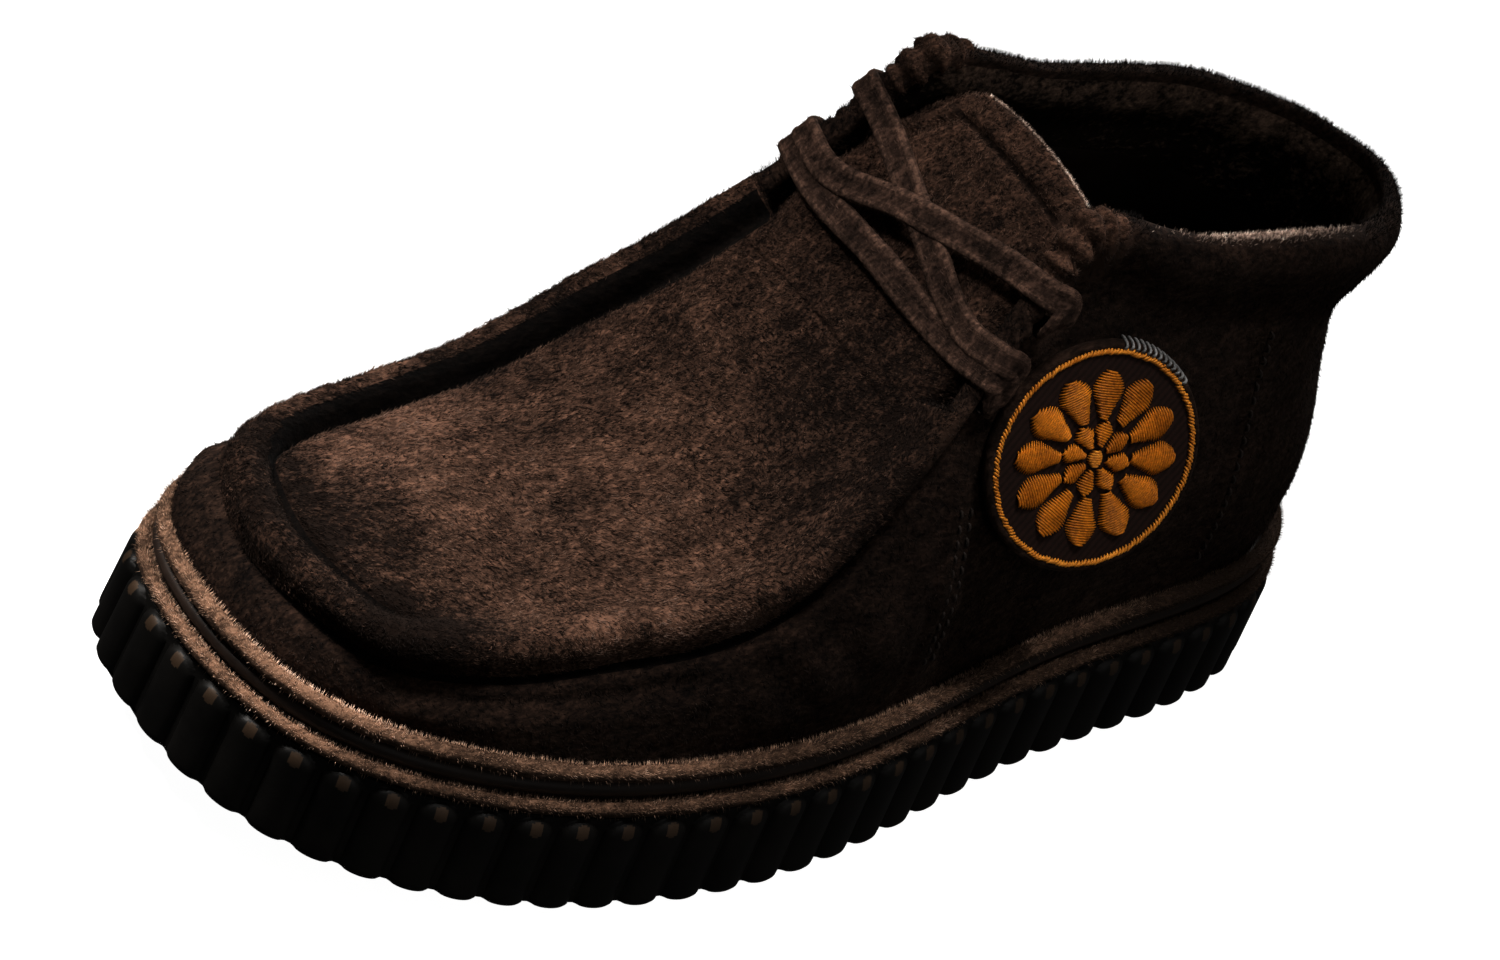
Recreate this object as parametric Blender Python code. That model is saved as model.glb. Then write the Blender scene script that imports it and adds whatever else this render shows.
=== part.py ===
"""Left suede ankle boot with a raised moccasin seam on a ribbed rubber sole.

+X points to the toe, +Y to the outer side, +Z up, and the floor is z = 0.
Tables are in millimetres and the built model is in metres.
"""
import math
from collections import namedtuple

import bmesh
import bpy
import numpy as np
from mathutils import Matrix, Vector

MM = 0.001

# sole edge in plan, from the back of the heel along the outer side to the toe and back
EdgeRow = namedtuple("EdgeRow", "name x y")
SOLE_EDGE = (
    EdgeRow("heel_back", -147.9, -0.8),
    EdgeRow("heel_outer", -127.9, 28.2),
    EdgeRow("waist_outer", -54.5, 41.8),
    EdgeRow("ball_outer", 32.3, 58.2),
    EdgeRow("toe_outer", 133.7, 30.4),
    EdgeRow("toe_tip", 148.6, -10.3),
    EdgeRow("toe_inner", 133.4, -40.4),
    EdgeRow("ball_inner", 46.8, -57.6),
    EdgeRow("waist_inner", -40.4, -42.6),
    EdgeRow("heel_inner", -125.2, -37.8),
)
TOE_ROW = 5
EDGE_SAMPLES = 4800
WIDTH_WINDOW = 1.0

# toe spring
SPRING_START_X = 55.0
SPRING_END_X = 150.0
SPRING_FLOOR = 12.0
SPRING_WELT = 10.7
SPRING_POWER = 2.0

# outsole
RIB_COUNT = 66
RIB_DEPTH = 1.9
SOLE_TAPER = 1.3
OUTSOLE_TOP = 22.7
RibRow = namedtuple("RibRow", "name along depth")
RIB_SECTION = (
    RibRow("valley", 0.00, 0.00),
    RibRow("flank_start", 0.20, 0.80),
    RibRow("crown", 0.50, 1.00),
    RibRow("flank_end", 0.80, 0.80),
)
SoleRow = namedtuple("SoleRow", "name z rib inset")
OUTSOLE_SIDE = (
    SoleRow("tread_edge", 0.0, 0.80, 0.5),
    SoleRow("rib_foot", 1.3, 1.00, 0.0),
    SoleRow("rib_shoulder", 17.6, 1.00, 0.0),
    SoleRow("rib_dome", 20.0, 0.55, 0.0),
    SoleRow("top_edge", OUTSOLE_TOP, 0.00, 0.2),
)

# tread grooves across the flat of the sole
GROOVE_WIDTH = 4.0
GROOVE_DEPTH = 2.4
GROOVE_MARGIN = 11.0
GROOVE_BELOW = 6.0
TreadRow = namedtuple("TreadRow", "name first_x last_x count")
TREAD = (
    TreadRow("heel", -128.0, -72.0, 5),
    TreadRow("forefoot", 12.0, 122.0, 9),
)

# midsole, pipings and insole
PLATE_COLUMNS = 60
MidRow = namedtuple("MidRow", "name z inset")
MIDSOLE_SIDE = (
    MidRow("under", 23.0, 6.1),
    MidRow("neck", 27.3, 6.1),
    MidRow("ridge_under", 27.9, 4.9),
    MidRow("ridge_over", 29.7, 4.9),
    MidRow("over", 30.35, 5.9),
)
INSOLE_SIDE = (
    MidRow("under", 30.7, 11.8),
    MidRow("over", 34.1, 14.0),
)
PipingRow = namedtuple("PipingRow", "name z inset radius")
PIPINGS = (
    PipingRow("lower_piping", 25.05, 3.7, 2.0),
    PipingRow("upper_piping", 33.1, 5.6, 2.4),
)
PIPING_SIDES = 6
PIPING_COLUMNS = 58

# upper: one row a section from the back of the collar along the throat and the seam to the toe
WALL = 2.2
FEATHER_Z = 30.7
FEATHER_INSET = 8.4
TopRow = namedtuple("TopRow", "name share x outer_y inner_y z low high roll ridge pad crown")
UPPER_TOP = (
    TopRow("collar_back", 0.000, -133.0, -5.0, -5.0, 118.0, 2.5, -6.0, 22.0, 0.0, 4.0, 0.0),
    TopRow("collar_heel", 0.075, -120.5, 13.0, -24.0, 120.0, 2.5, -4.5, 21.0, 0.0, 3.8, 0.0),
    TopRow("collar_rear", 0.200, -87.0, 23.2, -31.6, 127.0, 3.5, -1.5, 17.0, 0.0, 3.2, 0.0),
    TopRow("collar_side", 0.315, -49.0, 25.5, -31.0, 132.3, 4.0, 0.0, 14.0, 0.0, 2.6, 0.0),
    TopRow("collar_corner", 0.425, -14.7, 23.0, -29.5, 139.8, 4.0, 1.0, 10.0, 1.6, 2.0, 0.0),
    TopRow("eyestay", 0.460, -3.2, 26.9, -32.9, 123.0, 4.0, 2.0, 9.0, 2.4, 0.8, 0.0),
    TopRow("throat", 0.505, 8.8, 32.1, -37.6, 101.5, 4.0, 2.5, 9.0, 3.2, 0.0, 3.0),
    TopRow("instep", 0.545, 23.8, 36.1, -41.2, 82.5, 3.5, 3.0, 10.0, 4.2, 0.0, 4.0),
    TopRow("ball_rear", 0.590, 38.8, 38.3, -43.4, 69.6, 3.0, 3.0, 10.5, 4.8, 0.0, 4.5),
    TopRow("ball", 0.635, 53.8, 36.8, -42.7, 61.8, 2.5, 2.5, 10.5, 4.8, 0.0, 5.0),
    TopRow("ball_front", 0.680, 68.8, 34.2, -41.1, 57.6, 2.0, 2.0, 10.0, 4.8, 0.0, 5.0),
    TopRow("forefoot", 0.770, 98.8, 29.8, -37.5, 54.2, 2.0, 1.5, 9.5, 4.8, 0.0, 4.5),
    TopRow("toe_side", 0.830, 113.3, 26.6, -33.5, 54.4, 1.5, 1.0, 9.0, 4.8, 0.0, 3.5),
    TopRow("toe_corner", 0.910, 123.5, 20.9, -26.4, 54.4, 1.5, 1.0, 8.5, 4.8, 0.0, 2.0),
    TopRow("toe_tip", 1.000, 131.0, -3.8, -3.8, 54.8, 1.5, 1.0, 8.5, 4.8, 0.0, 0.5),
)
CORNER_SHARE = 0.425
THROAT_SHARE = 0.505
SpanRow = namedtuple("SpanRow", "name start end count")
COLUMN_SPANS = (
    SpanRow("collar", 0.0, CORNER_SHARE, 15),
    SpanRow("eyestay", CORNER_SHARE, THROAT_SHARE, 7),
    SpanRow("seam", THROAT_SHARE, 1.0, 24),
)
WALL_SHARES = (0.0, 0.14, 0.32, 0.52, 0.76)
RollRow = namedtuple("RollRow", "name reach ridge pad")
OUTER_ROLL = (
    RollRow("roll_start", 1.00, 0.00, 0.00),
    RollRow("outer_groove", 0.74, -0.12, 0.50),
    RollRow("outer_flank", 0.46, 0.50, 0.95),
    RollRow("shoulder", 0.20, 0.90, 1.00),
    RollRow("crest", 0.00, 1.00, 0.60),
)
INNER_ROLL = (
    RollRow("inner_flank", 0.30, 0.72, 0.0),
    RollRow("inner_groove", 0.60, -0.16, 0.0),
    RollRow("apron_edge", 0.92, 0.00, 0.0),
)
APRON_SHARES = (0.12, 0.30)
APRON_MIDDLE = 0.5
BULGE_SCALE = 45.5625
PLAN_SAMPLES = 2000
PLAN_MARGIN = 0.01
TURN_STEP = 0.003
SHARE_STEP = 0.01
SAME_TURN = 1e-9

# lace holes: share along the sole edge, distance below the top line, share where the lace crosses the edge
HoleRow = namedtuple("HoleRow", "name share below edge_share")
LACE_HOLES = (
    HoleRow("lower", 0.476, 12.0, 0.486),
    HoleRow("upper", 0.446, 12.0, 0.455),
)
HOLE_RADIUS = 2.7
HOLE_LENGTH = 16.0
HOLE_SIDES = 12

# tongue: stations from its root at the throat to its free top edge
TONGUE_THICK = 2.6
TONGUE_GAP = 0.7
TONGUE_COLUMNS = 8
TongueRow = namedtuple("TongueRow", "name x z half_width crown")
TONGUE = (
    TongueRow("low", 3.3, 109.8, 27.5, 2.0),
    TongueRow("middle", -4.2, 119.6, 26.0, 2.0),
    TongueRow("high", -12.2, 128.2, 23.0, 2.0),
    TongueRow("top_side", -18.7, 134.0, 20.5, 2.0),
    TongueRow("top", -21.7, 136.4, 17.0, 2.0),
)
TONGUE_ROOT_HALF = 26.0
TONGUE_CENTRE_Y = -2.8
TONGUE_STEPS = 8
TONGUE_HEADING_STEP = 0.02

# lace: flat ribbons from hole to hole over the tongue
LACE_WIDTH = 5.4
LACE_THICK = 2.2
LACE_CLEAR = 0.5
LACE_STEPS = 2
LACE_HOLE_LIFT = 0.6
LACE_RIM_DROP = 2.5
LACE_RIM_LIFT = 0.25
LACE_INSIDE = 2.0
LACE_HEADING_STEP = 0.2
LACE_FACE = (0.84, 0.0, 0.54)
StrandRow = namedtuple("StrandRow", "name start start_side end end_side lift slide raised")
STRANDS = (
    StrandRow("bar", 0, "outer", 0, "inner", 3.0, 0.000, 0.0),
    StrandRow("over", 0, "inner", 1, "outer", 3.2, 0.007, 0.3),
    StrandRow("under", 0, "outer", 1, "inner", 2.6, 0.007, 0.3),
)

# round patch on the lace
PATCH_RADIUS = 24.6
PATCH_THICK = 3.0
PATCH_BEVEL = 0.8
PATCH_SIDES = 36
PATCH_CENTRE = (-23.5, 43.1, 95.5)
PATCH_FACING = (0.22, 0.90, 0.37)

# angles above which an edge is shaded sharp
SOFT_ANGLE = math.radians(40)
PIPING_ANGLE = math.radians(80)
UPPER_ANGLE = math.radians(60)

# colours: base colour, roughness
SUEDE = ((0.040, 0.024, 0.016), 0.95)
SUEDE_PALE = ((0.070, 0.042, 0.028), 0.95)
RUBBER = ((0.008, 0.008, 0.008), 0.55)
MIDSOLE_RUBBER = ((0.012, 0.010, 0.009), 0.60)
INSOLE_LEATHER = ((0.030, 0.020, 0.014), 0.70)
PATCH_FELT = ((0.045, 0.022, 0.014), 0.90)


def clear_scene():
    for item in list(bpy.data.objects):
        bpy.data.objects.remove(item, do_unlink=True)


def unit(vector):
    vector = np.asarray(vector, float)
    return vector / np.linalg.norm(vector)


def closed_spline(points, samples):
    """Sample a closed cubic curve through the points, evenly in its own parameter."""
    points = np.array(points, float)
    count = len(points)
    step = np.sqrt(np.linalg.norm(np.roll(points, -1, axis=0) - points, axis=1))
    matrix = np.zeros((count, count))
    right = np.zeros_like(points)
    for here in range(count):
        before = here - 1
        after = (here + 1) % count
        matrix[here, before] += 1.0 / step[before]
        matrix[here, here] += 2.0 / step[before] + 2.0 / step[here]
        matrix[here, after] += 1.0 / step[here]
        right[here] = 3.0 * (points[here] - points[before]) / step[before] ** 2
        right[here] += 3.0 * (points[after] - points[here]) / step[here] ** 2
    slope = np.linalg.solve(matrix, right)
    start = np.concatenate([[0.0], np.cumsum(step)])
    values = np.linspace(0.0, start[-1], samples, endpoint=False)
    piece = np.clip(np.searchsorted(start, values, side="right") - 1, 0, count - 1)
    following = (piece + 1) % count
    width = step[piece]
    share = ((values - start[piece]) / width)[:, None]
    width = width[:, None]
    curve = points[piece] * (1 + 2 * share) * (1 - share) ** 2
    curve += slope[piece] * width * share * (1 - share) ** 2
    curve += points[following] * share ** 2 * (3 - 2 * share)
    curve += slope[following] * width * share ** 2 * (share - 1)
    return curve, start[TOE_ROW] / start[-1]


def soft_table(knots, values):
    """Interpolate table columns smoothly and without overshoot."""
    knots = np.asarray(knots, float)
    values = np.asarray(values, float)
    step = np.diff(knots)[:, None]
    rise = np.diff(values, axis=0) / step
    slope = np.zeros_like(values)
    before = 2 * step[1:] + step[:-1]
    after = step[1:] + 2 * step[:-1]
    same = rise[:-1] * rise[1:] > 0
    low = np.where(same, rise[:-1], 1.0)
    high = np.where(same, rise[1:], 1.0)
    slope[1:-1] = np.where(same, (before + after) / (before / low + after / high), 0.0)
    slope[0] = rise[0]
    slope[-1] = rise[-1]

    def at(where):
        piece = int(np.clip(np.searchsorted(knots, where, side="right") - 1, 0, len(knots) - 2))
        width = knots[piece + 1] - knots[piece]
        share = (where - knots[piece]) / width
        result = values[piece] * (1 + 2 * share) * (1 - share) ** 2
        result = result + slope[piece] * width * share * (1 - share) ** 2
        result = result + values[piece + 1] * share ** 2 * (3 - 2 * share)
        return result + slope[piece + 1] * width * share ** 2 * (share - 1)

    return at


class SoleEdge:
    """The sole's outline, read by the distance travelled along it from the heel."""

    def __init__(self):
        points = [(row.x, row.y) for row in SOLE_EDGE]
        curve, toe_share = closed_spline(points, EDGE_SAMPLES)
        closed = np.vstack([curve, curve[:1]])
        self.distance = np.concatenate([[0.0], np.cumsum(np.linalg.norm(np.diff(closed, axis=0), axis=1))])
        self.length = self.distance[-1]
        self.toe = np.interp(toe_share * EDGE_SAMPLES, np.arange(EDGE_SAMPLES + 1), self.distance)
        tangent = np.roll(curve, -1, axis=0) - np.roll(curve, 1, axis=0)
        tangent /= np.linalg.norm(tangent, axis=1)[:, None]
        outward = np.stack([-tangent[:, 1], tangent[:, 0]], axis=1)
        self.curve = closed
        self.outward = np.vstack([outward, outward[:1]])

    def read(self, travelled):
        travelled = travelled % self.length
        point = np.array([np.interp(travelled, self.distance, self.curve[:, axis]) for axis in (0, 1)])
        outward = [np.interp(travelled, self.distance, self.outward[:, axis]) for axis in (0, 1)]
        return point, unit(outward)

    def at(self, travelled, inset):
        point, outward = self.read(travelled)
        return point - inset * outward

    def turn(self, turn):
        """Distance for a turn: 0 heel, 1 toe along the outer side, 2 heel again along the inner side."""
        if turn <= 1.0:
            return turn * self.toe
        return self.toe + (turn - 1.0) * (self.length - self.toe)

    def width_at(self, x):
        near = np.abs(self.curve[:, 0] - x) < WIDTH_WINDOW
        return self.curve[near, 1].min(), self.curve[near, 1].max()


EDGE = SoleEdge()


def spring(x, height):
    share = max(0.0, (x - SPRING_START_X) / (SPRING_END_X - SPRING_START_X))
    return height * share ** SPRING_POWER


def sole_lift(x, z):
    """Toe spring at a height between the floor and the top of the outsole."""
    share = min(1.0, max(0.0, z / OUTSOLE_TOP))
    return spring(x, SPRING_FLOOR + (SPRING_WELT - SPRING_FLOOR) * share)


def make_material(name, look):
    material = bpy.data.materials.new(name)
    material.use_nodes = True
    shader = material.node_tree.nodes["Principled BSDF"]
    shader.inputs["Base Color"].default_value = (*look[0], 1.0)
    shader.inputs["Roughness"].default_value = look[1]
    shader.inputs["Metallic"].default_value = 0.0
    return material


def add_object(name, vertices, faces, look, sharp_angle=SOFT_ANGLE):
    mesh = bpy.data.meshes.new(name)
    mesh.from_pydata([tuple(MM * np.asarray(vertex)) for vertex in vertices], [], faces)
    shape = bmesh.new()
    shape.from_mesh(mesh)
    bmesh.ops.recalc_face_normals(shape, faces=shape.faces[:])
    shape.to_mesh(mesh)
    shape.free()
    mesh.shade_smooth()
    mesh.set_sharp_from_angle(angle=sharp_angle)
    mesh.materials.append(make_material(name + "_material", look))
    item = bpy.data.objects.new(name, mesh)
    bpy.context.scene.collection.objects.link(item)
    return item


def hide_cutter(item):
    item.hide_render = True
    item.display_type = "WIRE"


def cut(item, cutter):
    hide_cutter(cutter)
    modifier = item.modifiers.new("cut_" + cutter.name, "BOOLEAN")
    modifier.operation = "DIFFERENCE"
    modifier.solver = "EXACT"
    modifier.object = cutter


def ring_faces(rings, columns):
    """Quads between rings that each hold the same number of columns."""
    faces = []
    for ring in range(rings - 1):
        for column in range(columns):
            following = (column + 1) % columns
            low = ring * columns
            high = low + columns
            faces.append((low + column, low + following, high + following, high + column))
    return faces


def plate_faces(start, columns, split):
    """Strips across a flat outline whose two sides meet at column 0 and at the split column."""
    faces = []
    outer = list(range(0, split + 1))
    inner = [0] + list(range(columns - 1, split - 1, -1))
    steps = max(len(outer), len(inner)) - 1
    previous = (0, 0)
    for step in range(1, steps + 1):
        current = (round(step * (len(outer) - 1) / steps), round(step * (len(inner) - 1) / steps))
        face = [outer[previous[0]], outer[current[0]], inner[current[1]], inner[previous[1]]]
        face = [start + index for index in dict.fromkeys(face)]
        if len(face) > 2:
            faces.append(tuple(face))
        previous = current
    return faces


def plate(name, side, distances, lift, look):
    """A plate whose side is given as rows of height and inset."""
    vertices = []
    for row in side:
        for travelled in distances:
            x, y = EDGE.at(travelled, row.inset)
            vertices.append((x, y, row.z + lift(x, row.z)))
    columns = len(distances)
    split = int(np.argmin(np.abs(np.array(distances) - EDGE.toe)))
    faces = ring_faces(len(side), columns)
    faces += plate_faces(0, columns, split)
    faces += plate_faces((len(side) - 1) * columns, columns, split)
    return add_object(name, vertices, faces, look)


def even_distances(columns):
    """Columns spaced evenly on each side, with one at the heel and one at the toe."""
    outer = round(columns * EDGE.toe / EDGE.length)
    first = np.linspace(0.0, EDGE.toe, outer, endpoint=False)
    second = np.linspace(EDGE.toe, EDGE.length, columns - outer, endpoint=False)
    return list(np.concatenate([first, second]))


def welt_lift(x, z):
    return spring(x, SPRING_WELT)


def build_outsole():
    pitch = EDGE.length / RIB_COUNT
    ribs = range(RIB_COUNT)
    columns = [((rib + row.along) * pitch, row.depth) for rib in ribs for row in RIB_SECTION]
    vertices = []
    for row in OUTSOLE_SIDE:
        for travelled, depth in columns:
            inset = row.inset + SOLE_TAPER * row.z / OUTSOLE_TOP + RIB_DEPTH * (1.0 - row.rib * depth)
            x, y = EDGE.at(travelled, inset)
            vertices.append((x, y, row.z + sole_lift(x, row.z)))
    count = len(columns)
    split = int(np.argmin([abs(travelled - EDGE.toe) for travelled, depth in columns]))
    faces = ring_faces(len(OUTSOLE_SIDE), count)
    faces += plate_faces(0, count, split)
    faces += plate_faces((len(OUTSOLE_SIDE) - 1) * count, count, split)
    outsole = add_object("outsole", vertices, faces, RUBBER)
    cut(outsole, build_tread_cutter())
    return outsole


def build_tread_cutter():
    vertices = []
    faces = []
    for row in TREAD:
        for x in np.linspace(row.first_x, row.last_x, row.count):
            start = len(vertices)
            for side_x in (x - 0.5 * GROOVE_WIDTH, x + 0.5 * GROOVE_WIDTH):
                low, high = EDGE.width_at(side_x)
                floor = spring(side_x, SPRING_FLOOR)
                for y in (low + GROOVE_MARGIN, high - GROOVE_MARGIN):
                    vertices.append((side_x, y, floor - GROOVE_BELOW))
                    vertices.append((side_x, y, floor + GROOVE_DEPTH))
            box = ((0, 1, 3, 2), (4, 6, 7, 5), (0, 4, 5, 1), (2, 3, 7, 6), (1, 5, 7, 3), (0, 2, 6, 4))
            faces += [tuple(start + index for index in face) for face in box]
    return add_object("tread_cutter", vertices, faces, RUBBER)


def build_piping(row):
    vertices = []
    distances = even_distances(PIPING_COLUMNS)
    for step in range(PIPING_SIDES):
        angle = 2 * math.pi * (step + 0.5) / PIPING_SIDES
        for travelled in distances:
            x, y = EDGE.at(travelled, row.inset - row.radius * math.cos(angle))
            centre_x = EDGE.at(travelled, row.inset)[0]
            vertices.append((x, y, row.z + welt_lift(centre_x, row.z) + row.radius * math.sin(angle)))
    faces = ring_faces(PIPING_SIDES, PIPING_COLUMNS)
    last = (PIPING_SIDES - 1) * PIPING_COLUMNS
    for column in range(PIPING_COLUMNS):
        following = (column + 1) % PIPING_COLUMNS
        faces.append((last + column, last + following, following, column))
    return add_object(row.name, vertices, faces, SUEDE_PALE, PIPING_ANGLE)


class Upper:
    """The upper's middle skin: walls from the sole to the top line, and the apron inside the seam."""

    def __init__(self):
        turns = [row.share for row in UPPER_TOP] + [2.0 - row.share for row in UPPER_TOP[-2:0:-1]]
        values = [(row.x, row.outer_y, row.z, *row[6:]) for row in UPPER_TOP]
        values += [(row.x, row.inner_y, row.z, *row[6:]) for row in UPPER_TOP[-2:0:-1]]
        knots = [turns[-2] - 2.0, turns[-1] - 2.0] + turns + [2.0, 2.0 + turns[1]]
        rows = values[-2:] + values + values[:2]
        self.table = soft_table(knots, rows)
        self.plan_turns = np.linspace(THROAT_SHARE, 2.0 - THROAT_SHARE, PLAN_SAMPLES)
        self.plan = np.array([self.table(turn) for turn in self.plan_turns])
        self.tip = int(np.argmax(self.plan[:, 0]))

    def foot(self, turn):
        point, outward = EDGE.read(EDGE.turn(turn))
        point = point - FEATHER_INSET * outward
        return np.array([point[0], point[1], FEATHER_Z + spring(point[0], SPRING_WELT)]), outward

    def wall(self, turn, share):
        foot, outward = self.foot(turn)
        row = self.table(turn)
        top = row[:3]
        along = np.array([outward[1], -outward[0], 0.0])
        normal = unit(np.cross(top - foot, along))
        if np.dot(normal[:2], outward) < 0:
            normal = -normal
        low = BULGE_SCALE * share ** 2 * (1 - share) ** 4
        high = BULGE_SCALE * share ** 4 * (1 - share) ** 2
        return foot + share * (top - foot) + normal * (row[3] * low + row[4] * high)

    def height(self, turn):
        foot, outward = self.foot(turn)
        return np.linalg.norm(self.table(turn)[:3] - foot)

    def below(self, turn, distance):
        """Point and outward normal on the wall at a distance below its top."""
        share = 1.0 - distance / self.height(turn)
        point = self.wall(turn, share)
        along = self.wall(turn + TURN_STEP, share) - self.wall(turn - TURN_STEP, share)
        upward = self.wall(turn, share + SHARE_STEP) - self.wall(turn, share - SHARE_STEP)
        normal = unit(np.cross(along, upward))
        if np.dot(normal[:2], self.foot(turn)[1]) < 0:
            normal = -normal
        return point, normal

    def apron(self, x, y):
        """Point of the apron over a place in plan."""
        x = min(x, self.plan[self.tip, 0] - PLAN_MARGIN)
        outer = self.plan[:self.tip + 1]
        inner = self.plan[self.tip:][::-1]
        sides = []
        for side in (outer, inner):
            sides.append([np.interp(x, side[:, 0], side[:, column]) for column in (1, 2, 8)])
        middle = 0.5 * (sides[0][0] + sides[1][0])
        half = max(0.5 * (sides[0][0] - sides[1][0]), PLAN_MARGIN)
        across = max(-1.0, min(1.0, (y - middle) / half))
        base = sides[0][1] + (sides[1][1] - sides[0][1]) * 0.5 * (1.0 - across)
        return np.array([x, y, base + sides[0][2] * (1.0 - across ** 2)])

    def inward(self, turn):
        along = (self.table(turn + TURN_STEP) - self.table(turn - TURN_STEP))[:2]
        return unit([along[1], -along[0]])

    def throat_x(self):
        """Where the apron ends and the tongue starts."""
        row = self.table(THROAT_SHARE)
        return row[0] + self.inward(THROAT_SHARE)[0] * INNER_ROLL[-1].reach * row[5]


UPPER = Upper()


def column_turns():
    """Turns of the columns all around, with each column's partner across the shoe."""
    shares = []
    for span in COLUMN_SPANS:
        shares += list(np.linspace(span.start, span.end, span.count, endpoint=False))
    turns = shares + [1.0] + [2.0 - share for share in reversed(shares[1:])]
    return turns, len(shares)


def upper_skin():
    """Vertices of the middle skin with their outward and inward offsets, faces and open edges."""
    turns, tip = column_turns()
    columns = len(turns)
    throat = COLUMN_SPANS[0].count + COLUMN_SPANS[1].count
    vertices = []
    outward = []
    grid = []
    for turn in turns:
        row = UPPER.table(turn)
        roll, ridge, pad = row[5:8]
        top_share = 1.0 - roll / UPPER.height(turn)
        line = []
        for share in WALL_SHARES:
            line.append((UPPER.wall(turn, share * top_share), 0.0))
        for step in OUTER_ROLL:
            share = 1.0 - (1.0 - top_share) * step.reach
            line.append((UPPER.wall(turn, share), step.ridge * ridge + step.pad * pad))
        if THROAT_SHARE - SAME_TURN <= min(turn, 2.0 - turn):
            inward = UPPER.inward(turn)
            for step in INNER_ROLL:
                place = row[:2] + inward * step.reach * roll
                line.append((UPPER.apron(place[0], place[1]), step.ridge * ridge))
        grid.append(range(len(vertices), len(vertices) + len(line)))
        vertices += [point for point, offset in line]
        outward += [offset for point, offset in line]
    faces = []
    wall_rows = len(WALL_SHARES) + len(OUTER_ROLL)
    for column in range(columns):
        following = (column + 1) % columns
        rows = min(len(grid[column]), len(grid[following]))
        for row in range(rows - 1):
            faces.append((grid[column][row], grid[following][row],
                          grid[following][row + 1], grid[column][row + 1]))
    ribs = {}
    for column in range(throat, tip):
        left = vertices[grid[column][-1]]
        right = vertices[grid[columns - column][-1]]
        rib = [grid[column][-1]]
        for share in list(APRON_SHARES) + [APRON_MIDDLE] + [1.0 - share for share in reversed(APRON_SHARES)]:
            place = left + share * (right - left)
            rib.append(len(vertices))
            vertices.append(UPPER.apron(place[0], place[1]))
            outward.append(0.0)
        rib.append(grid[columns - column][-1])
        ribs[column] = rib
    for column in range(throat, tip - 1):
        for place in range(len(ribs[column]) - 1):
            faces.append((ribs[column][place], ribs[column + 1][place],
                          ribs[column + 1][place + 1], ribs[column][place + 1]))
    last = ribs[tip - 1]
    for place in range(len(last) - 1):
        faces.append((last[place], grid[tip][-1], last[place + 1]))
    bottom = [grid[column][0] for column in range(columns)]
    crest = wall_rows - 1
    rear = [grid[column][crest] for column in range(throat, -1, -1)]
    rear += [grid[column][crest] for column in range(columns - 1, columns - throat - 1, -1)]
    opening = rear + [grid[columns - throat][row] for row in range(wall_rows, len(grid[columns - throat]))]
    opening += ribs[throat][-2:0:-1]
    opening += [grid[throat][row] for row in range(len(grid[throat]) - 1, wall_rows - 1, -1)]
    return np.array(vertices), np.array(outward), faces, bottom, opening


def skin_normals(vertices, faces, bottom):
    shape = bmesh.new()
    points = [shape.verts.new(tuple(vertex)) for vertex in vertices]
    for face in faces:
        shape.faces.new([points[index] for index in face])
    bmesh.ops.recalc_face_normals(shape, faces=shape.faces[:])
    shape.normal_update()
    normals = np.array([tuple(point.normal) for point in points])
    shape.free()
    centre = vertices[bottom].mean(axis=0)
    if np.sum((vertices[bottom] - centre) * normals[bottom]) < 0:
        normals = -normals
    normals[bottom, 2] = 0.0
    return normals / np.linalg.norm(normals, axis=1)[:, None]


def build_upper():
    vertices, offset, faces, bottom, opening = upper_skin()
    normals = skin_normals(vertices, faces, bottom)
    outer = vertices + normals * offset[:, None]
    inner = vertices - normals * WALL
    count = len(vertices)
    solid = list(faces) + [tuple(count + index for index in reversed(face)) for face in faces]
    for loop in (bottom, opening):
        for place, index in enumerate(loop):
            following = loop[(place + 1) % len(loop)]
            solid.append((index, following, count + following, count + index))
    upper = add_object("upper", np.vstack([outer, inner]), solid, SUEDE, UPPER_ANGLE)
    cut(upper, build_hole_cutter())
    return upper


def lace_hole(hole, side):
    turn = hole.share if side == "outer" else 2.0 - hole.share
    return UPPER.below(turn, hole.below)


def build_hole_cutter():
    shape = bmesh.new()
    for hole in LACE_HOLES:
        for side in ("outer", "inner"):
            point, normal = lace_hole(hole, side)
            turn = Vector((0, 0, 1)).rotation_difference(Vector(normal)).to_matrix().to_4x4()
            place = Matrix.Translation(Vector(MM * point)) @ turn
            bmesh.ops.create_cone(shape, cap_ends=True, segments=HOLE_SIDES, radius1=MM * HOLE_RADIUS,
                                  radius2=MM * HOLE_RADIUS, depth=MM * HOLE_LENGTH, matrix=place)
    mesh = bpy.data.meshes.new("hole_cutter")
    shape.to_mesh(mesh)
    shape.free()
    item = bpy.data.objects.new("hole_cutter", mesh)
    bpy.context.scene.collection.objects.link(item)
    return item


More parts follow.
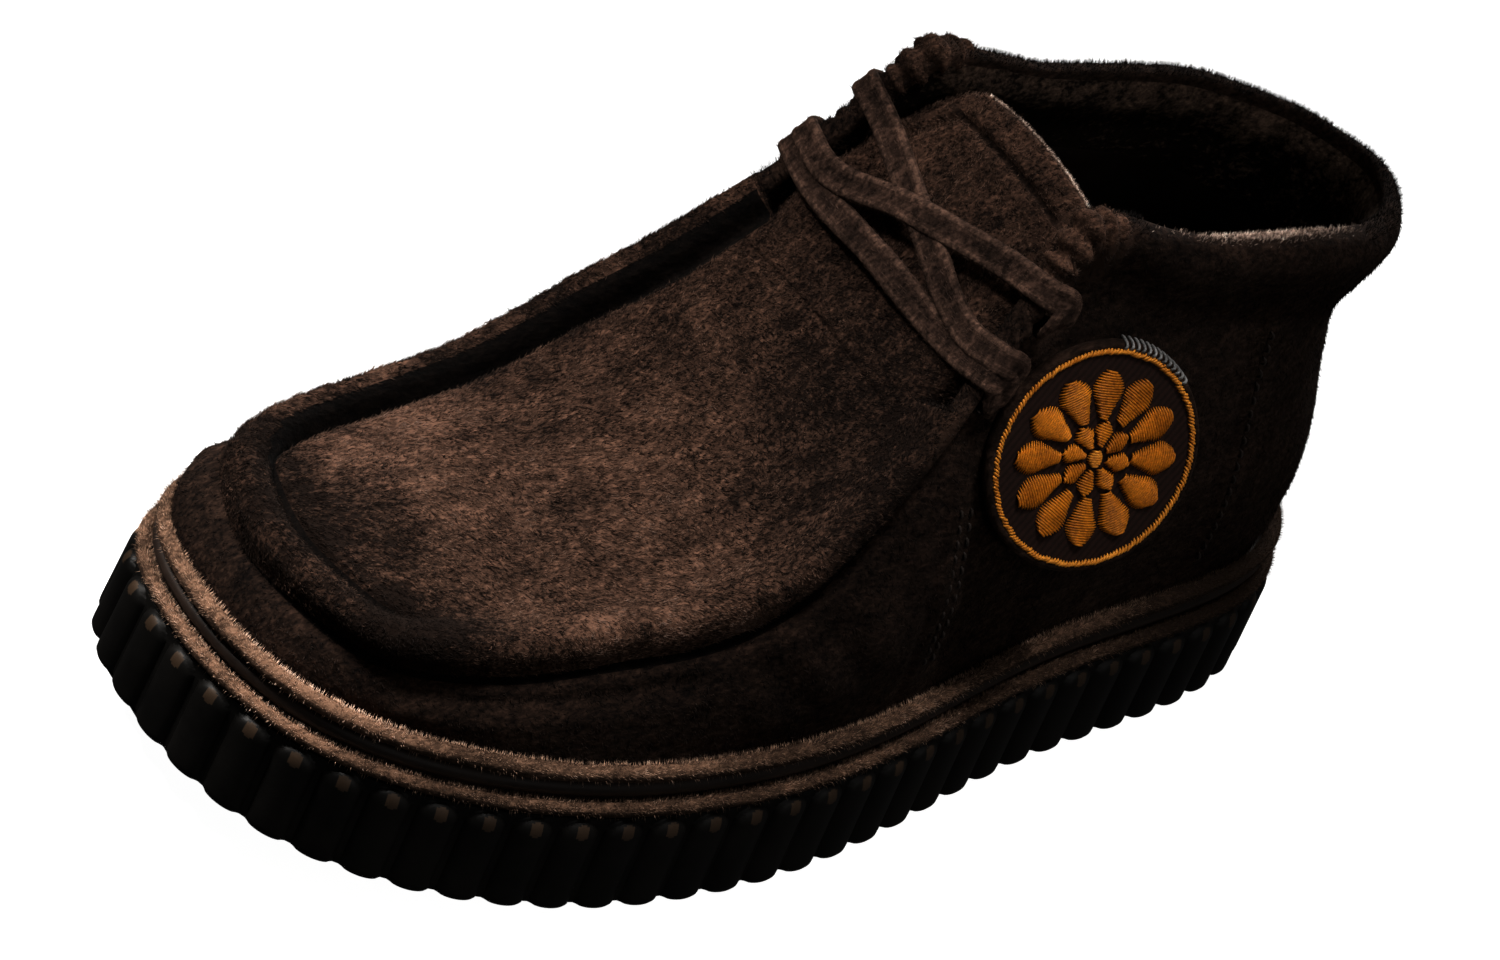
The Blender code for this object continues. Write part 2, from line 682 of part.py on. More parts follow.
def lace_end(hole, side, slide, raised):
    """Places and facing directions of a ribbon from a hole up and over the edge of the throat."""
    mirror = (lambda share: share) if side == "outer" else (lambda share: 2.0 - share)
    point, normal = UPPER.below(mirror(hole.share - slide), hole.below)
    turn = mirror(hole.edge_share - slide)
    row = UPPER.table(turn)
    top = row[:3]
    along = unit((UPPER.table(turn + TURN_STEP) - UPPER.table(turn - TURN_STEP))[:3])
    rise = unit(np.cross(along, UPPER.below(turn, LACE_RIM_DROP)[1]))
    if rise[2] < 0:
        rise = -rise
    normal = unit(np.cross(rise, along))
    if np.dot(normal[:2], UPPER.foot(turn)[1]) < 0:
        normal = -normal
    clear = 0.5 * LACE_THICK + LACE_CLEAR + raised
    out = row[6] + row[7]
    corner = unit(normal + rise)
    face = np.array(LACE_FACE)
    return [
        (point + normal * (clear + LACE_HOLE_LIFT), normal),
        (top + normal * (out + clear) - rise * LACE_RIM_DROP, normal),
        (top + normal * (out + LACE_RIM_LIFT) + corner * clear, corner),
        (top + rise * (clear + LACE_RIM_LIFT), unit(rise + 0.5 * face)),
        (top - normal * (WALL + LACE_INSIDE) + rise * (clear + LACE_RIM_LIFT), unit(rise + 2.0 * face)),
    ]


def build_strand(row):
    first = lace_end(LACE_HOLES[row.start], row.start_side, row.slide, row.raised)
    last = lace_end(LACE_HOLES[row.end], row.end_side, 0.0, row.raised)
    face = unit(LACE_FACE)
    middle = 0.5 * (first[-1][0] + last[-1][0]) + face * row.lift
    stops = first + [(middle, face)] + last[::-1]
    places = np.array([np.concatenate(stop) for stop in stops])
    reach = np.concatenate([[0.0], np.cumsum(np.linalg.norm(np.diff(places[:, :3], axis=0), axis=1))])
    table = soft_table(reach, places)
    shares = np.arange(LACE_STEPS) / LACE_STEPS
    travel = [low + (high - low) * share for low, high in zip(reach, reach[1:]) for share in shares]
    vertices = []
    for along in travel + [reach[-1]]:
        here = table(along)
        nearby = table(min(along + LACE_HEADING_STEP, reach[-1]))[:3]
        nearby = nearby - table(max(along - LACE_HEADING_STEP, 0.0))[:3]
        heading = unit(nearby)
        across = unit(np.cross(heading, here[3:]))
        facing = np.cross(across, heading)
        for side, height in ((-1, -1), (1, -1), (1, 1), (-1, 1)):
            vertices.append(here[:3] + 0.5 * side * LACE_WIDTH * across + 0.5 * height * LACE_THICK * facing)
    faces = ring_faces(len(travel) + 1, 4)
    faces.append((0, 1, 2, 3))
    faces.append(tuple(4 * len(travel) + corner for corner in (3, 2, 1, 0)))
    return add_object("lace" if row is STRANDS[0] else "lace_" + row.name, vertices, faces, SUEDE_PALE)


def build_lace():
    lace = build_strand(STRANDS[0])
    for row in STRANDS[1:]:
        strand = build_strand(row)
        hide_cutter(strand)
        modifier = lace.modifiers.new("join_" + row.name, "BOOLEAN")
        modifier.operation = "UNION"
        modifier.solver = "EXACT"
        modifier.object = strand
    return lace


def build_tongue():
    root_x = UPPER.throat_x()
    side_z = UPPER.apron(root_x, TONGUE_CENTRE_Y + TONGUE_ROOT_HALF)[2]
    root_crown = UPPER.apron(root_x, TONGUE_CENTRE_Y)[2] - side_z
    rows = [(root_x, side_z, TONGUE_ROOT_HALF, root_crown)]
    rows += [(row.x, row.z, row.half_width, row.crown) for row in TONGUE]
    table = soft_table(np.linspace(0.0, 1.0, len(rows)), rows)
    vertices = []
    for step in range(TONGUE_STEPS + 1):
        share = step / TONGUE_STEPS
        x, z, half, crown = table(share)
        near = table(max(0.0, share - TONGUE_HEADING_STEP))
        far = table(min(1.0, share + TONGUE_HEADING_STEP))
        climb = unit([far[0] - near[0], 0.0, far[1] - near[1]])
        face = np.array([climb[2], 0.0, -climb[0]])
        for column in range(TONGUE_COLUMNS + 1):
            across = 2.0 * column / TONGUE_COLUMNS - 1.0
            point = np.array([x, TONGUE_CENTRE_Y + across * half, z]) + TONGUE_GAP * climb
            point[2] += crown * (1.0 - across ** 2)
            vertices.append((point, face))
    count = len(vertices)
    width = TONGUE_COLUMNS + 1
    top = [point for point, face in vertices]
    under = [point - TONGUE_THICK * face for point, face in vertices]
    faces = []
    for step in range(TONGUE_STEPS):
        for column in range(TONGUE_COLUMNS):
            corner = step * width + column
            quad = (corner, corner + 1, corner + width + 1, corner + width)
            faces.append(quad)
            faces.append(tuple(count + index for index in reversed(quad)))
    rim = list(range(width)) + [step * width + width - 1 for step in range(1, TONGUE_STEPS + 1)]
    rim += list(range(count - 2, count - width - 1, -1))
    rim += [step * width for step in range(TONGUE_STEPS - 1, 0, -1)]
    for place, index in enumerate(rim):
        following = rim[(place + 1) % len(rim)]
        faces.append((index, following, count + following, count + index))
    return add_object("tongue", top + under, faces, SUEDE)


def build_insole():
    return plate("insole", INSOLE_SIDE, even_distances(PLATE_COLUMNS), welt_lift, INSOLE_LEATHER)


def build_midsole():
    return plate("midsole", MIDSOLE_SIDE, even_distances(PLATE_COLUMNS), welt_lift, MIDSOLE_RUBBER)


def build_patch():
    facing = Vector(PATCH_FACING).normalized()
    mesh = bpy.data.meshes.new("lace_patch")
    shape = bmesh.new()
    bmesh.ops.create_cone(shape, cap_ends=True, segments=PATCH_SIDES, radius1=MM * PATCH_RADIUS,
                          radius2=MM * PATCH_RADIUS, depth=MM * PATCH_THICK)
    rims = [edge for edge in shape.edges if len(edge.link_faces) == 2
            and abs(edge.verts[0].co.z - edge.verts[1].co.z) < MM * PLAN_MARGIN]
    bmesh.ops.bevel(shape, geom=rims, offset=MM * PATCH_BEVEL, segments=1, affect="EDGES")
    shape.to_mesh(mesh)
    shape.free()
    mesh.shade_smooth()
    mesh.set_sharp_from_angle(angle=SOFT_ANGLE)
    mesh.materials.append(make_material("lace_patch_material", PATCH_FELT))
    item = bpy.data.objects.new("lace_patch", mesh)
    item.location = MM * Vector(PATCH_CENTRE)
    item.rotation_euler = Vector((0, 0, 1)).rotation_difference(facing).to_euler()
    bpy.context.scene.collection.objects.link(item)
    return item


def main():
    clear_scene()
    build_outsole()
    build_midsole()
    for row in PIPINGS:
        build_piping(row)
    build_insole()
    build_upper()
    build_tongue()
    build_lace()
    build_patch()


main()
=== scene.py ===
import itertools
import math
from collections import namedtuple

import bpy
import numpy as np
from mathutils import Matrix, Vector


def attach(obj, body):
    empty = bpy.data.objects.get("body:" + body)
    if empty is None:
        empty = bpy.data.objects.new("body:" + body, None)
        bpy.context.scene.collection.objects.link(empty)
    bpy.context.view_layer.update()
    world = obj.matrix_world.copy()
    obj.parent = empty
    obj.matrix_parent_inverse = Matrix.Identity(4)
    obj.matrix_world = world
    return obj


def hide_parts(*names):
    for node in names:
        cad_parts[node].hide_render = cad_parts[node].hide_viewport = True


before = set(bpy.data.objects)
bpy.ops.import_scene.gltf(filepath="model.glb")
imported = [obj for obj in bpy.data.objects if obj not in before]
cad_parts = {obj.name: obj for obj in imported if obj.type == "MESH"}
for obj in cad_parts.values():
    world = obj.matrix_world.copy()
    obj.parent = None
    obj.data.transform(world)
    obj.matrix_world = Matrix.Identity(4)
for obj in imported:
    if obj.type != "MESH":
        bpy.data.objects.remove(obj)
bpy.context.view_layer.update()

MM = 0.001
BODY = "root"

# sole edge in plan, as in the solids; lengths are in millimetres throughout
SOLE_EDGE = ((-147.9, -0.8), (-127.9, 28.2), (-54.5, 41.8), (32.3, 58.2), (133.7, 30.4),
             (148.6, -10.3), (133.4, -40.4), (46.8, -57.6), (-40.4, -42.6), (-125.2, -37.8))
TOE_ROW = 5
EDGE_SAMPLES = 4800
SPRING_START_X = 55.0
SPRING_END_X = 150.0
SPRING_FLOOR = 12.0
SPRING_WELT = 10.7

# outsole; a row of its side is height, closing of the ribs and inset
RIB_COUNT = 66
RIB_DEPTH = 1.9
RIB_COLUMNS = 16
RIB_SHARE = 0.84
RIB_SHOULDER = 18.6
RIB_DOME = 3.6
SOLE_TAPER = 1.3
OUTSOLE_TOP = 22.7
OUTSOLE_SHARP = 38
DOME_STEPS = (0.1, 0.2, 0.3, 0.4, 0.5, 0.6, 0.7, 0.8, 0.88, 0.94, 0.98, 1.0)
OUTSOLE_SIDE = ((0.0, 0.6, 0.7), (0.25, 0.4, 0.28), (0.9, 0.15, 0.05), (2.0, 0.0, 0.0), (6.0, 0.0, 0.0),
                (10.0, 0.0, 0.0), (14.0, 0.0, 0.0), (RIB_SHOULDER, 0.0, 0.0),
                *((RIB_SHOULDER + RIB_DOME * step, step, 0.0) for step in DOME_STEPS),
                (OUTSOLE_TOP - 0.2, 1.0, 0.0), (OUTSOLE_TOP, 1.0, 0.3))
# painted highlight dots on the rib domes: height and radius
DOT_HEIGHT = 20.3
DOT_RADIUS = 1.6
TREAD = ((-128.0, -72.0, 5), (12.0, 122.0, 9))
GROOVE_WIDTH = 4.0
GROOVE_DEPTH = 2.4
GROOVE_MARGIN = 11.0
GROOVE_CUT = 6.0
BOX_SIDES = ((2, 3, 1, 0), (5, 7, 6, 4), (1, 5, 4, 0), (6, 7, 3, 2), (3, 7, 5, 1), (4, 6, 2, 0))

# midsole, insole and pipings; a row of a side is height and inset
PLATE_COLUMNS = 300
PLATE_SHARP = 35
MIDSOLE_SIDE = ((23.0, 6.1), (26.4, 6.1), (26.8, 5.4), (27.3, 4.85), (28.0, 4.5), (28.8, 4.5), (29.5, 4.85),
                (30.0, 5.4), (30.35, 6.2))
INSOLE_SIDE = ((30.7, 11.8), (33.2, 13.2), (33.9, 13.9), (34.1, 15.0))
PIPINGS = (("lower_piping", 24.7, 3.7, 1.5), ("upper_piping", 32.6, 5.6, 1.75))
PIPING_SIDES = 18
PIPING_COLUMNS = 420
PIPING_SHADE = 0.22
PIPING_RELIEF = ((0.14, 9.0), (0.06, 3.0))
PIPING_ENDS_X = (-95.0, 85.0)

# top line of the upper from the back of the collar to the tip of the toe
WALL = 2.2
FEATHER_Z = 30.7
FEATHER_INSET = 8.4
TopRow = namedtuple("TopRow", "share x outer_y inner_y z low high roll ridge pad crown")
UPPER_TOP = (
    TopRow(0.000, -133.0, -5.0, -5.0, 118.0, 2.5, -6.0, 22.0, 0.0, 4.0, 0.0),  # collar back
    TopRow(0.075, -120.5, 13.0, -24.0, 120.0, 2.5, -4.5, 21.0, 0.0, 3.8, 0.0),  # collar heel
    TopRow(0.200, -87.0, 23.2, -31.6, 127.0, 3.5, -1.5, 17.0, 0.0, 3.2, 0.0),  # collar rear
    TopRow(0.315, -49.0, 25.5, -31.0, 132.3, 4.0, 0.0, 14.0, 0.0, 2.6, 0.0),  # collar side
    TopRow(0.425, -14.7, 23.0, -29.5, 139.8, 4.0, 1.0, 10.0, 1.6, 2.0, 0.0),  # collar corner
    TopRow(0.460, -3.2, 26.9, -32.9, 123.0, 4.0, 2.0, 9.0, 2.4, 0.8, 0.0),  # eyestay
    TopRow(0.505, 8.8, 32.1, -37.6, 101.5, 4.0, 2.5, 9.0, 3.2, 0.0, 3.0),  # throat
    TopRow(0.545, 23.8, 36.1, -41.2, 82.5, 3.5, 3.0, 10.0, 4.2, 0.0, 4.0),  # instep
    TopRow(0.590, 38.8, 38.3, -43.4, 69.6, 3.0, 3.0, 10.5, 4.8, 0.0, 4.5),  # ball rear
    TopRow(0.635, 53.8, 36.8, -42.7, 61.8, 2.5, 2.5, 10.5, 4.8, 0.0, 5.0),  # ball
    TopRow(0.680, 68.8, 34.2, -41.1, 57.6, 2.0, 2.0, 10.0, 4.8, 0.0, 5.0),  # ball front
    TopRow(0.770, 98.8, 29.8, -37.5, 54.2, 2.0, 1.5, 9.5, 4.8, 0.0, 4.5),  # forefoot
    TopRow(0.830, 113.3, 26.6, -33.5, 54.4, 1.5, 1.0, 9.0, 4.8, 0.0, 3.5),  # toe side
    TopRow(0.910, 123.5, 20.9, -26.4, 54.4, 1.5, 1.0, 8.5, 4.8, 0.0, 2.0),  # toe corner
    TopRow(1.000, 131.0, -3.8, -3.8, 54.8, 1.5, 1.0, 8.5, 4.8, 0.0, 0.5),  # toe tip
)
LOW, HIGH, ROLL, RIDGE, PAD, CROWN = range(3, 9)
CORNER_SHARE = 0.425
THROAT_SHARE = 0.505
COLUMN_SPANS = ((0.0, CORNER_SHARE, 110), (CORNER_SHARE, THROAT_SHARE, 52), (THROAT_SHARE, 1.0, 160))
BULGE_SCALE = 45.5625
TURN_STEP = 0.003
SHARE_STEP = 0.01

# rows of a column of the upper, from its foot over the seam's roll to the apron
WALL_SHARES = np.array((0.0, 0.14, 0.32, 0.52, 0.76))
OUTER_REACH = np.array((1.00, 0.74, 0.46, 0.20, 0.00))
OUTER_RIDGE = np.array((0.00, -0.28, 0.32, 0.93, 1.00))
OUTER_PAD = np.array((0.00, 0.50, 0.95, 1.00, 0.60))
INNER_REACH = np.array((0.30, 0.60, 0.92, 1.50))
INNER_RIDGE = np.array((0.62, -0.62, -0.08, 0.00))
NEAR_INNER_RIDGE = np.array((0.66, 0.22, 0.03, 0.00))
ROW_STEPS = 4
WALL_ROWS = len(WALL_SHARES) + len(OUTER_REACH)
SKIN_ROWS = WALL_ROWS + len(INNER_REACH)
CREST = WALL_ROWS - 1
CREST_ROW = CREST * ROW_STEPS
EDGE_ROW = (SKIN_ROWS - 2) * ROW_STEPS
FOOT_FADE = (0.0, 0.2, 0.6)
SKIN_ACROSS = np.array((0.12, 0.3, 0.5, 0.7, 0.88))
APRON_ACROSS = 40

# turns over which a form of the seam comes or goes
NEAR_TURNS = (0.80, 0.90)
FAR_ROLL_START = (1.00, 1.14)
FAR_ROLL_END = (1.38, 1.49)
FAR_ROLL_SLIM = 0.36
# from here to CREVICE_ROWS: where the grooves beside the roll and the crevice under it are painted with shade
TOE_GROOVE = (0.86, 0.98)
TOE_GROOVE_ROWS = 5.0
FAR_GROOVE = (1.05, 1.20)
FAR_GROOVE_ROWS = 3.0
GROOVE_END_ROW = CREST_ROW + 11
CREVICE_ROWS = (23, 26)
WALL_TOP_DROP = 10
WALL_TOP_COLUMNS = 16
SEAM_TURNS = (0.49, 0.53)
EDGE_ROLL_START = (0.405, 0.425)
EDGE_ROLL_END = (0.470, 0.490)

# collar; its rim is rounded between the outer face and the lining
COLLAR_PAD = 1.7
COLLAR_PAD_PLACE = (4.5, 6.0)
COLLAR_ANGLES = (60, 120, 180, 200)
BAND_ROWS = 17
DARK_ROWS = 1
RIM_ROWS = 5
RIM_TALL = 0.9
THROAT_TALL = 0.12
THROAT_PULL = (-0.62, 0.0, 0.78)
# where pale fibres paint a highlight on the near rim's top: facing, place and spread
RIM_FACING = np.array((0.0, -0.10, 0.995))
PALE_RIM_X = (-104.0, -30.0)
PALE_RIM_Y = 4.0
PALE_RIM_MIDDLE = (-70.0, 19.0)
CORNERS = ((-18.0, 26.0, 133.0), (-15.0, -30.5, 136.0))
CORNER_ROLL = (0.398, 0.452)
CORNER_STEPS = 90
CORNER_FOLD = 4.4
ROLL_RADIUS = 3.3

# relief of the upper's outer face
SUEDE_RELIEF = ((0.34, 24.0), (0.16, 9.0), (0.09, 4.0))
SEAMS = ((1.0, 6.5), (-91.0, -85.0))
SEAM_HEIGHTS = (50.0, 40.0)
VAMP_SEAM_END = (84.0, 92.0)
HEEL_SEAM_END = (104.0, 110.0)
CREASES = (
    # side, x, z, slant, width, depth, reach
    (1, 26.0, 56.0, 0.75, 4.0, 0.75, 15.0),
    (1, 40.0, 49.0, 0.55, 3.5, 0.55, 12.0),
    (1, 12.0, 66.0, 0.95, 4.5, 0.55, 16.0),
    (1, -36.0, 52.0, -0.25, 6.0, 0.60, 22.0),
    (1, -98.0, 92.0, 0.10, 6.0, 0.70, 18.0),
    (1, -104.0, 78.0, 0.05, 5.0, 0.50, 14.0),
    (-1, 22.0, 55.0, 0.70, 4.0, 0.75, 15.0),
    (-1, 36.0, 48.0, 0.55, 3.5, 0.50, 12.0),
    (-1, 6.0, 66.0, 0.90, 4.5, 0.55, 16.0),
    (-1, -40.0, 54.0, -0.20, 6.0, 0.60, 22.0),
    (-1, -98.0, 90.0, 0.10, 6.0, 0.70, 18.0),
)
FAR_TOE = (1.09, 0.09, 46.0, 7.0, 4.6)
TOE_CREASE = np.array(((119.2, 29.0, 45.6), (104.0, 35.4, 45.1), (87.3, 39.0, 46.0), (74.4, 41.3, 47.0),
                       (58.0, 44.0, 50.0)))

# lace; a strand is first hole and side, last hole and side, lift, slide and how far it lies on top
HOLES = ((0.476, 12.0, 0.486), (0.446, 12.0, 0.452))
HOLE_RADIUS = 2.7
HOLE_CUT = 8.0
HOLE_SIDES = 20
LACE_HUMP = 2.4
LACE_WIDTH = 6.3
LACE_THICK = 2.2
LACE_CLEAR = 0.5
LACE_SIDES = 28
LACE_STEPS = 9
# width of the lace's middle groove, which is also painted with shade, then the raised edges, painted with
# highlights
LACE_MIDDLE_STRIPE = 0.30
LACE_EDGE_STRIPE = (0.52, 0.90)
LACE_FACE = np.array((0.84, 0.0, 0.54))
STRANDS = ((0, "outer", 0, "inner", 3.0, 0.000, 0.0), (0, "inner", 1, "outer", 3.2, 0.007, 0.3),
           (0, "outer", 1, "inner", 2.6, 0.007, 0.3))

# tongue; a row is x, z at the sides, half width and crown
TONGUE = ((3.3, 109.8, 27.5, 2.0), (-4.2, 119.6, 26.0, 2.0), (-12.2, 128.2, 23.0, 2.0),
          (-18.7, 134.0, 20.5, 2.0), (-21.7, 136.4, 17.0, 2.0))
TONGUE_THICK = 2.6
TONGUE_THIN = 0.12
TONGUE_GAP = 0.7
TONGUE_ROOT_HALF = 26.0
TONGUE_CENTRE_Y = -2.8
TONGUE_ROWS = 70
TONGUE_LAP = 3.4
TONGUE_LAP_ROWS = 5
TONGUE_ACROSS = 57
TONGUE_TUCK = 1.15
TONGUE_TUCK_START = 0.90
TONGUE_TUCK_DEPTH = 5.0
TONGUE_TUCK_END = (0.55, 0.85)
TONGUE_PROUD = 0.12
TONGUE_ROUND = 1.5
HEM_FREE_SHARE = 0.45
HEM_DEPTH = 8.0
HEM_HALF = 0.75
HEM_MARGIN = 3.0
HEM_HEIGHT = 0.9
HEM_STEP = (7.8, 6.4)
HEM_GROOVE = (1.1, 7.8)
HEM_GROOVE_DEPTH = 1.3
HEM_SWELL = (2.0, 10.8)

# round patch
PATCH_RADIUS = 24.6
PATCH_THICK = 3.0
PATCH_SUNK = 0.45
PATCH_CENTRE = np.array((-23.5, 43.1, 95.5))
PATCH_FACING = np.array((0.22, 0.90, 0.37))
PATCH_SIDES = 144
PATCH_SHARP = 60
GROUND_SIDES = 96
RING_STITCHES = 190
ROSETTE = ((12, 8.6, 18.6, 3.9, 0.0), (8, 2.9, 7.8, 2.3, 0.2))
THREAD_SPACING = 0.54
THREAD_POINTS = 7
KNOT_RADIUS = 1.75
WHIP_STITCHES = 13
WHIP_POINTS = 9

# upright seams' stitches: seam, lowest and highest place, and rows beside the seam
STITCH_ROWS = ((0, 44.0, 82.0, (-2.6, -5.4)), (1, 42.0, 102.0, (-2.4,)))
STITCH_STEP = 3.3
STITCH_LENGTH = 2.2
SCAN_SHARES = np.linspace(0.01, 0.95, 160)
SCAN_TURNS = {1: np.linspace(0.02, 0.75, 420), -1: np.linspace(1.25, 1.98, 420)}

# camera of the photograph, then the lights in metres and watts
CAMERA_PLACE = (0.7531, 0.5925, 0.7159)
CAMERA_RIGHT = (-0.7596, 0.5390, 0.3640)
CAMERA_UP = (-0.1213, -0.6672, 0.7349)
CAMERA_BACK = (0.6390, 0.5141, 0.5722)
CAMERA_LENS = 136.73
WARM = (1.0, 0.96, 0.92)
SOFT = (1.0, 0.97, 0.94)
SPOT_LIGHTS = (
    # name, place, target, radius, half angle, power, colour
    ("key_light", (0.45, -0.35, 0.70), (0.110, -0.005, 0.052), 0.11, 13.0, 50.0, WARM),
    ("top_light", (0.13, 0.10, 1.00), (0.105, 0.035, 0.04), 0.10, 9.0, 46.0, SOFT),
    ("patch_light", (0.25, 0.95, 0.55), (-0.0235, 0.043, 0.0955), 0.05, 2.4, 10.0, SOFT),
    ("rim_light", (-0.10, 0.22, 1.05), (-0.050, 0.002, 0.128), 0.06, 4.6, 30.0, WARM),
)
AREA_LIGHTS = (
    # name, place, target, size, power, colour
    ("back_light", (-0.85, -0.60, 0.62), (-0.03, 0.0, 0.07), 0.5, 12.0, SOFT),
    ("fill_light", (-0.05, 1.00, 0.60), (-0.03, 0.0, 0.06), 0.7, 1.25, SOFT),
)
FLOOR_HALF = 6.0
FLOOR_Z = -0.0004


def unit(vectors):
    vectors = np.asarray(vectors, float)
    return vectors / np.maximum(np.linalg.norm(vectors, axis=-1, keepdims=True), 1e-12)


def smoothstep(low, high, value):
    share = np.clip((value - low) / (high - low), 0.0, 1.0)
    return share * share * (3 - 2 * share)


def bell(value, width, middle=0.0):
    return np.exp(-((value - middle) / width) ** 2)


def hermite(share, start, start_slope, end, end_slope):
    """Cubic between two values; the slopes are for the whole span."""
    value = start * (1 + 2 * share) * (1 - share) ** 2
    value = value + start_slope * share * (1 - share) ** 2
    value = value + end * share ** 2 * (3 - 2 * share)
    return value + end_slope * share ** 2 * (share - 1)


def run_along(line):
    """Distance travelled to each point of a line."""
    return np.concatenate([[0.0], np.cumsum(np.linalg.norm(np.diff(line, axis=0), axis=1))])


class SoftNoise:
    """Smooth random heights in space, the same on every run."""

    size = 32

    def __init__(self, seed):
        self.values = np.random.RandomState(seed).uniform(-1, 1, (self.size,) * 3)

    def __call__(self, points, scale):
        place = np.asarray(points, float) / scale
        base = np.floor(place).astype(int)
        part = place - base
        part = part * part * (3 - 2 * part)
        total = 0.0
        for corner in itertools.product((0, 1), repeat=3):
            index = (base + corner) % self.size
            weight = np.prod(np.where(corner, part, 1 - part), axis=-1)
            total = total + weight * self.values[index[..., 0], index[..., 1], index[..., 2]]
        return total

    def relief(self, points, layers):
        """Sum of layers, each a height and a scale."""
        return sum(height * self(points, scale) for height, scale in layers)

    def swirl(self, points, scale, shift):
        """Vectors that turn softly from place to place."""
        return np.stack([self(points + shift * axis, scale) for axis in range(3)], axis=-1)


NOISE = SoftNoise(7)


def closed_spline(points, samples):
    points = np.array(points, float)
    count = len(points)
    step = np.sqrt(np.linalg.norm(np.roll(points, -1, axis=0) - points, axis=1))
    matrix = np.zeros((count, count))
    right = np.zeros_like(points)
    for here in range(count):
        before = here - 1
        after = (here + 1) % count
        matrix[here, before] += 1.0 / step[before]
        matrix[here, here] += 2.0 / step[before] + 2.0 / step[here]
        matrix[here, after] += 1.0 / step[here]
        right[here] = 3.0 * (points[here] - points[before]) / step[before] ** 2
        right[here] += 3.0 * (points[after] - points[here]) / step[here] ** 2
    slope = np.linalg.solve(matrix, right)
    start = np.concatenate([[0.0], np.cumsum(step)])
    values = np.linspace(0.0, start[-1], samples, endpoint=False)
    piece = np.clip(np.searchsorted(start, values, side="right") - 1, 0, count - 1)
    following = (piece + 1) % count
    width = step[piece][:, None]
    share = (values - start[piece])[:, None] / width
    curve = hermite(share, points[piece], slope[piece] * width, points[following], slope[following] * width)
    return curve, start[TOE_ROW] / start[-1]


def soft_table(knots, values):
    """Interpolate table columns smoothly and without overshoot."""
    knots = np.asarray(knots, float)
    values = np.asarray(values, float)
    step = np.diff(knots)[:, None]
    rise = np.diff(values, axis=0) / step
    slope = np.zeros_like(values)
    before = 2 * step[1:] + step[:-1]
    after = step[1:] + 2 * step[:-1]
    same = rise[:-1] * rise[1:] > 0
    low = np.where(same, rise[:-1], 1.0)
    high = np.where(same, rise[1:], 1.0)
    slope[1:-1] = np.where(same, (before + after) / (before / low + after / high), 0.0)
    slope[0] = rise[0]
    slope[-1] = rise[-1]

    def at(where):
        where = np.atleast_1d(np.asarray(where, float))
        piece = np.clip(np.searchsorted(knots, where, side="right") - 1, 0, len(knots) - 2)
        width = (knots[piece + 1] - knots[piece])[:, None]
        share = (where - knots[piece])[:, None] / width
        start, end = values[piece], values[piece + 1]
        return hermite(share, start, slope[piece] * width, end, slope[piece + 1] * width)

    return at


def smooth_rows(control, steps):
    """Soft curve through the control points of each column, with a number of steps between them."""
    delta = np.diff(control, axis=1)
    length = np.maximum(np.linalg.norm(delta, axis=2, keepdims=True), 1e-6)
    speed = delta / length
    slope = np.empty_like(control)
    slope[:, 1:-1] = speed[:, 1:] * length[:, :-1] + speed[:, :-1] * length[:, 1:]
    slope[:, 1:-1] /= length[:, 1:] + length[:, :-1]
    slope[:, 0] = speed[:, 0]
    slope[:, -1] = speed[:, -1]
    rows = []
    for piece in range(control.shape[1] - 1):
        span = length[:, piece]
        start, end = control[:, piece], control[:, piece + 1]
        for step in range(steps):
            rows.append(hermite(step / steps, start, slope[:, piece] * span, end, slope[:, piece + 1] * span))
    rows.append(control[:, -1])
    return np.stack(rows, axis=1)


class SoleEdge:
    """The sole's outline, read by the distance travelled along it from the heel."""

    def __init__(self):
        curve, toe_share = closed_spline(SOLE_EDGE, EDGE_SAMPLES)
        self.curve = np.vstack([curve, curve[:1]])
        self.distance = run_along(self.curve)
        self.length = self.distance[-1]
        self.toe = np.interp(toe_share * EDGE_SAMPLES, np.arange(EDGE_SAMPLES + 1), self.distance)
        tangent = unit(np.roll(curve, -1, axis=0) - np.roll(curve, 1, axis=0))
        outward = np.stack([-tangent[:, 1], tangent[:, 0]], axis=1)
        self.outward = np.vstack([outward, outward[:1]])

    def read(self, travelled):
        travelled = np.mod(travelled, self.length)

        def between(rows):
            return np.stack([np.interp(travelled, self.distance, rows[:, axis]) for axis in (0, 1)], axis=-1)

        return between(self.curve), unit(between(self.outward))

    def at(self, travelled, inset):
        point, outward = self.read(travelled)
        return point - np.asarray(inset)[..., None] * outward

    def turn(self, turn):
        turn = np.asarray(turn, float)
        return np.where(turn <= 1.0, turn * self.toe, self.toe + (turn - 1.0) * (self.length - self.toe))

    def width_at(self, x):
        near = np.abs(self.curve[:, 0] - x) < 1.0
        return self.curve[near, 1].min(), self.curve[near, 1].max()

    def even(self, columns):
        """Even distances along the edge, with one of them at the toe."""
        outer = round(columns * self.toe / self.length)
        first = np.linspace(0.0, self.toe, outer, endpoint=False)
        return np.concatenate([first, np.linspace(self.toe, self.length, columns - outer, endpoint=False)])


EDGE = SoleEdge()


def spring(x, height):
    share = np.maximum(0.0, (np.asarray(x) - SPRING_START_X) / (SPRING_END_X - SPRING_START_X))
    return height * share ** 2


def sole_lift(x, z):
    share = np.clip(np.asarray(z) / OUTSOLE_TOP, 0.0, 1.0)
    return spring(x, SPRING_FLOOR + (SPRING_WELT - SPRING_FLOOR) * share)


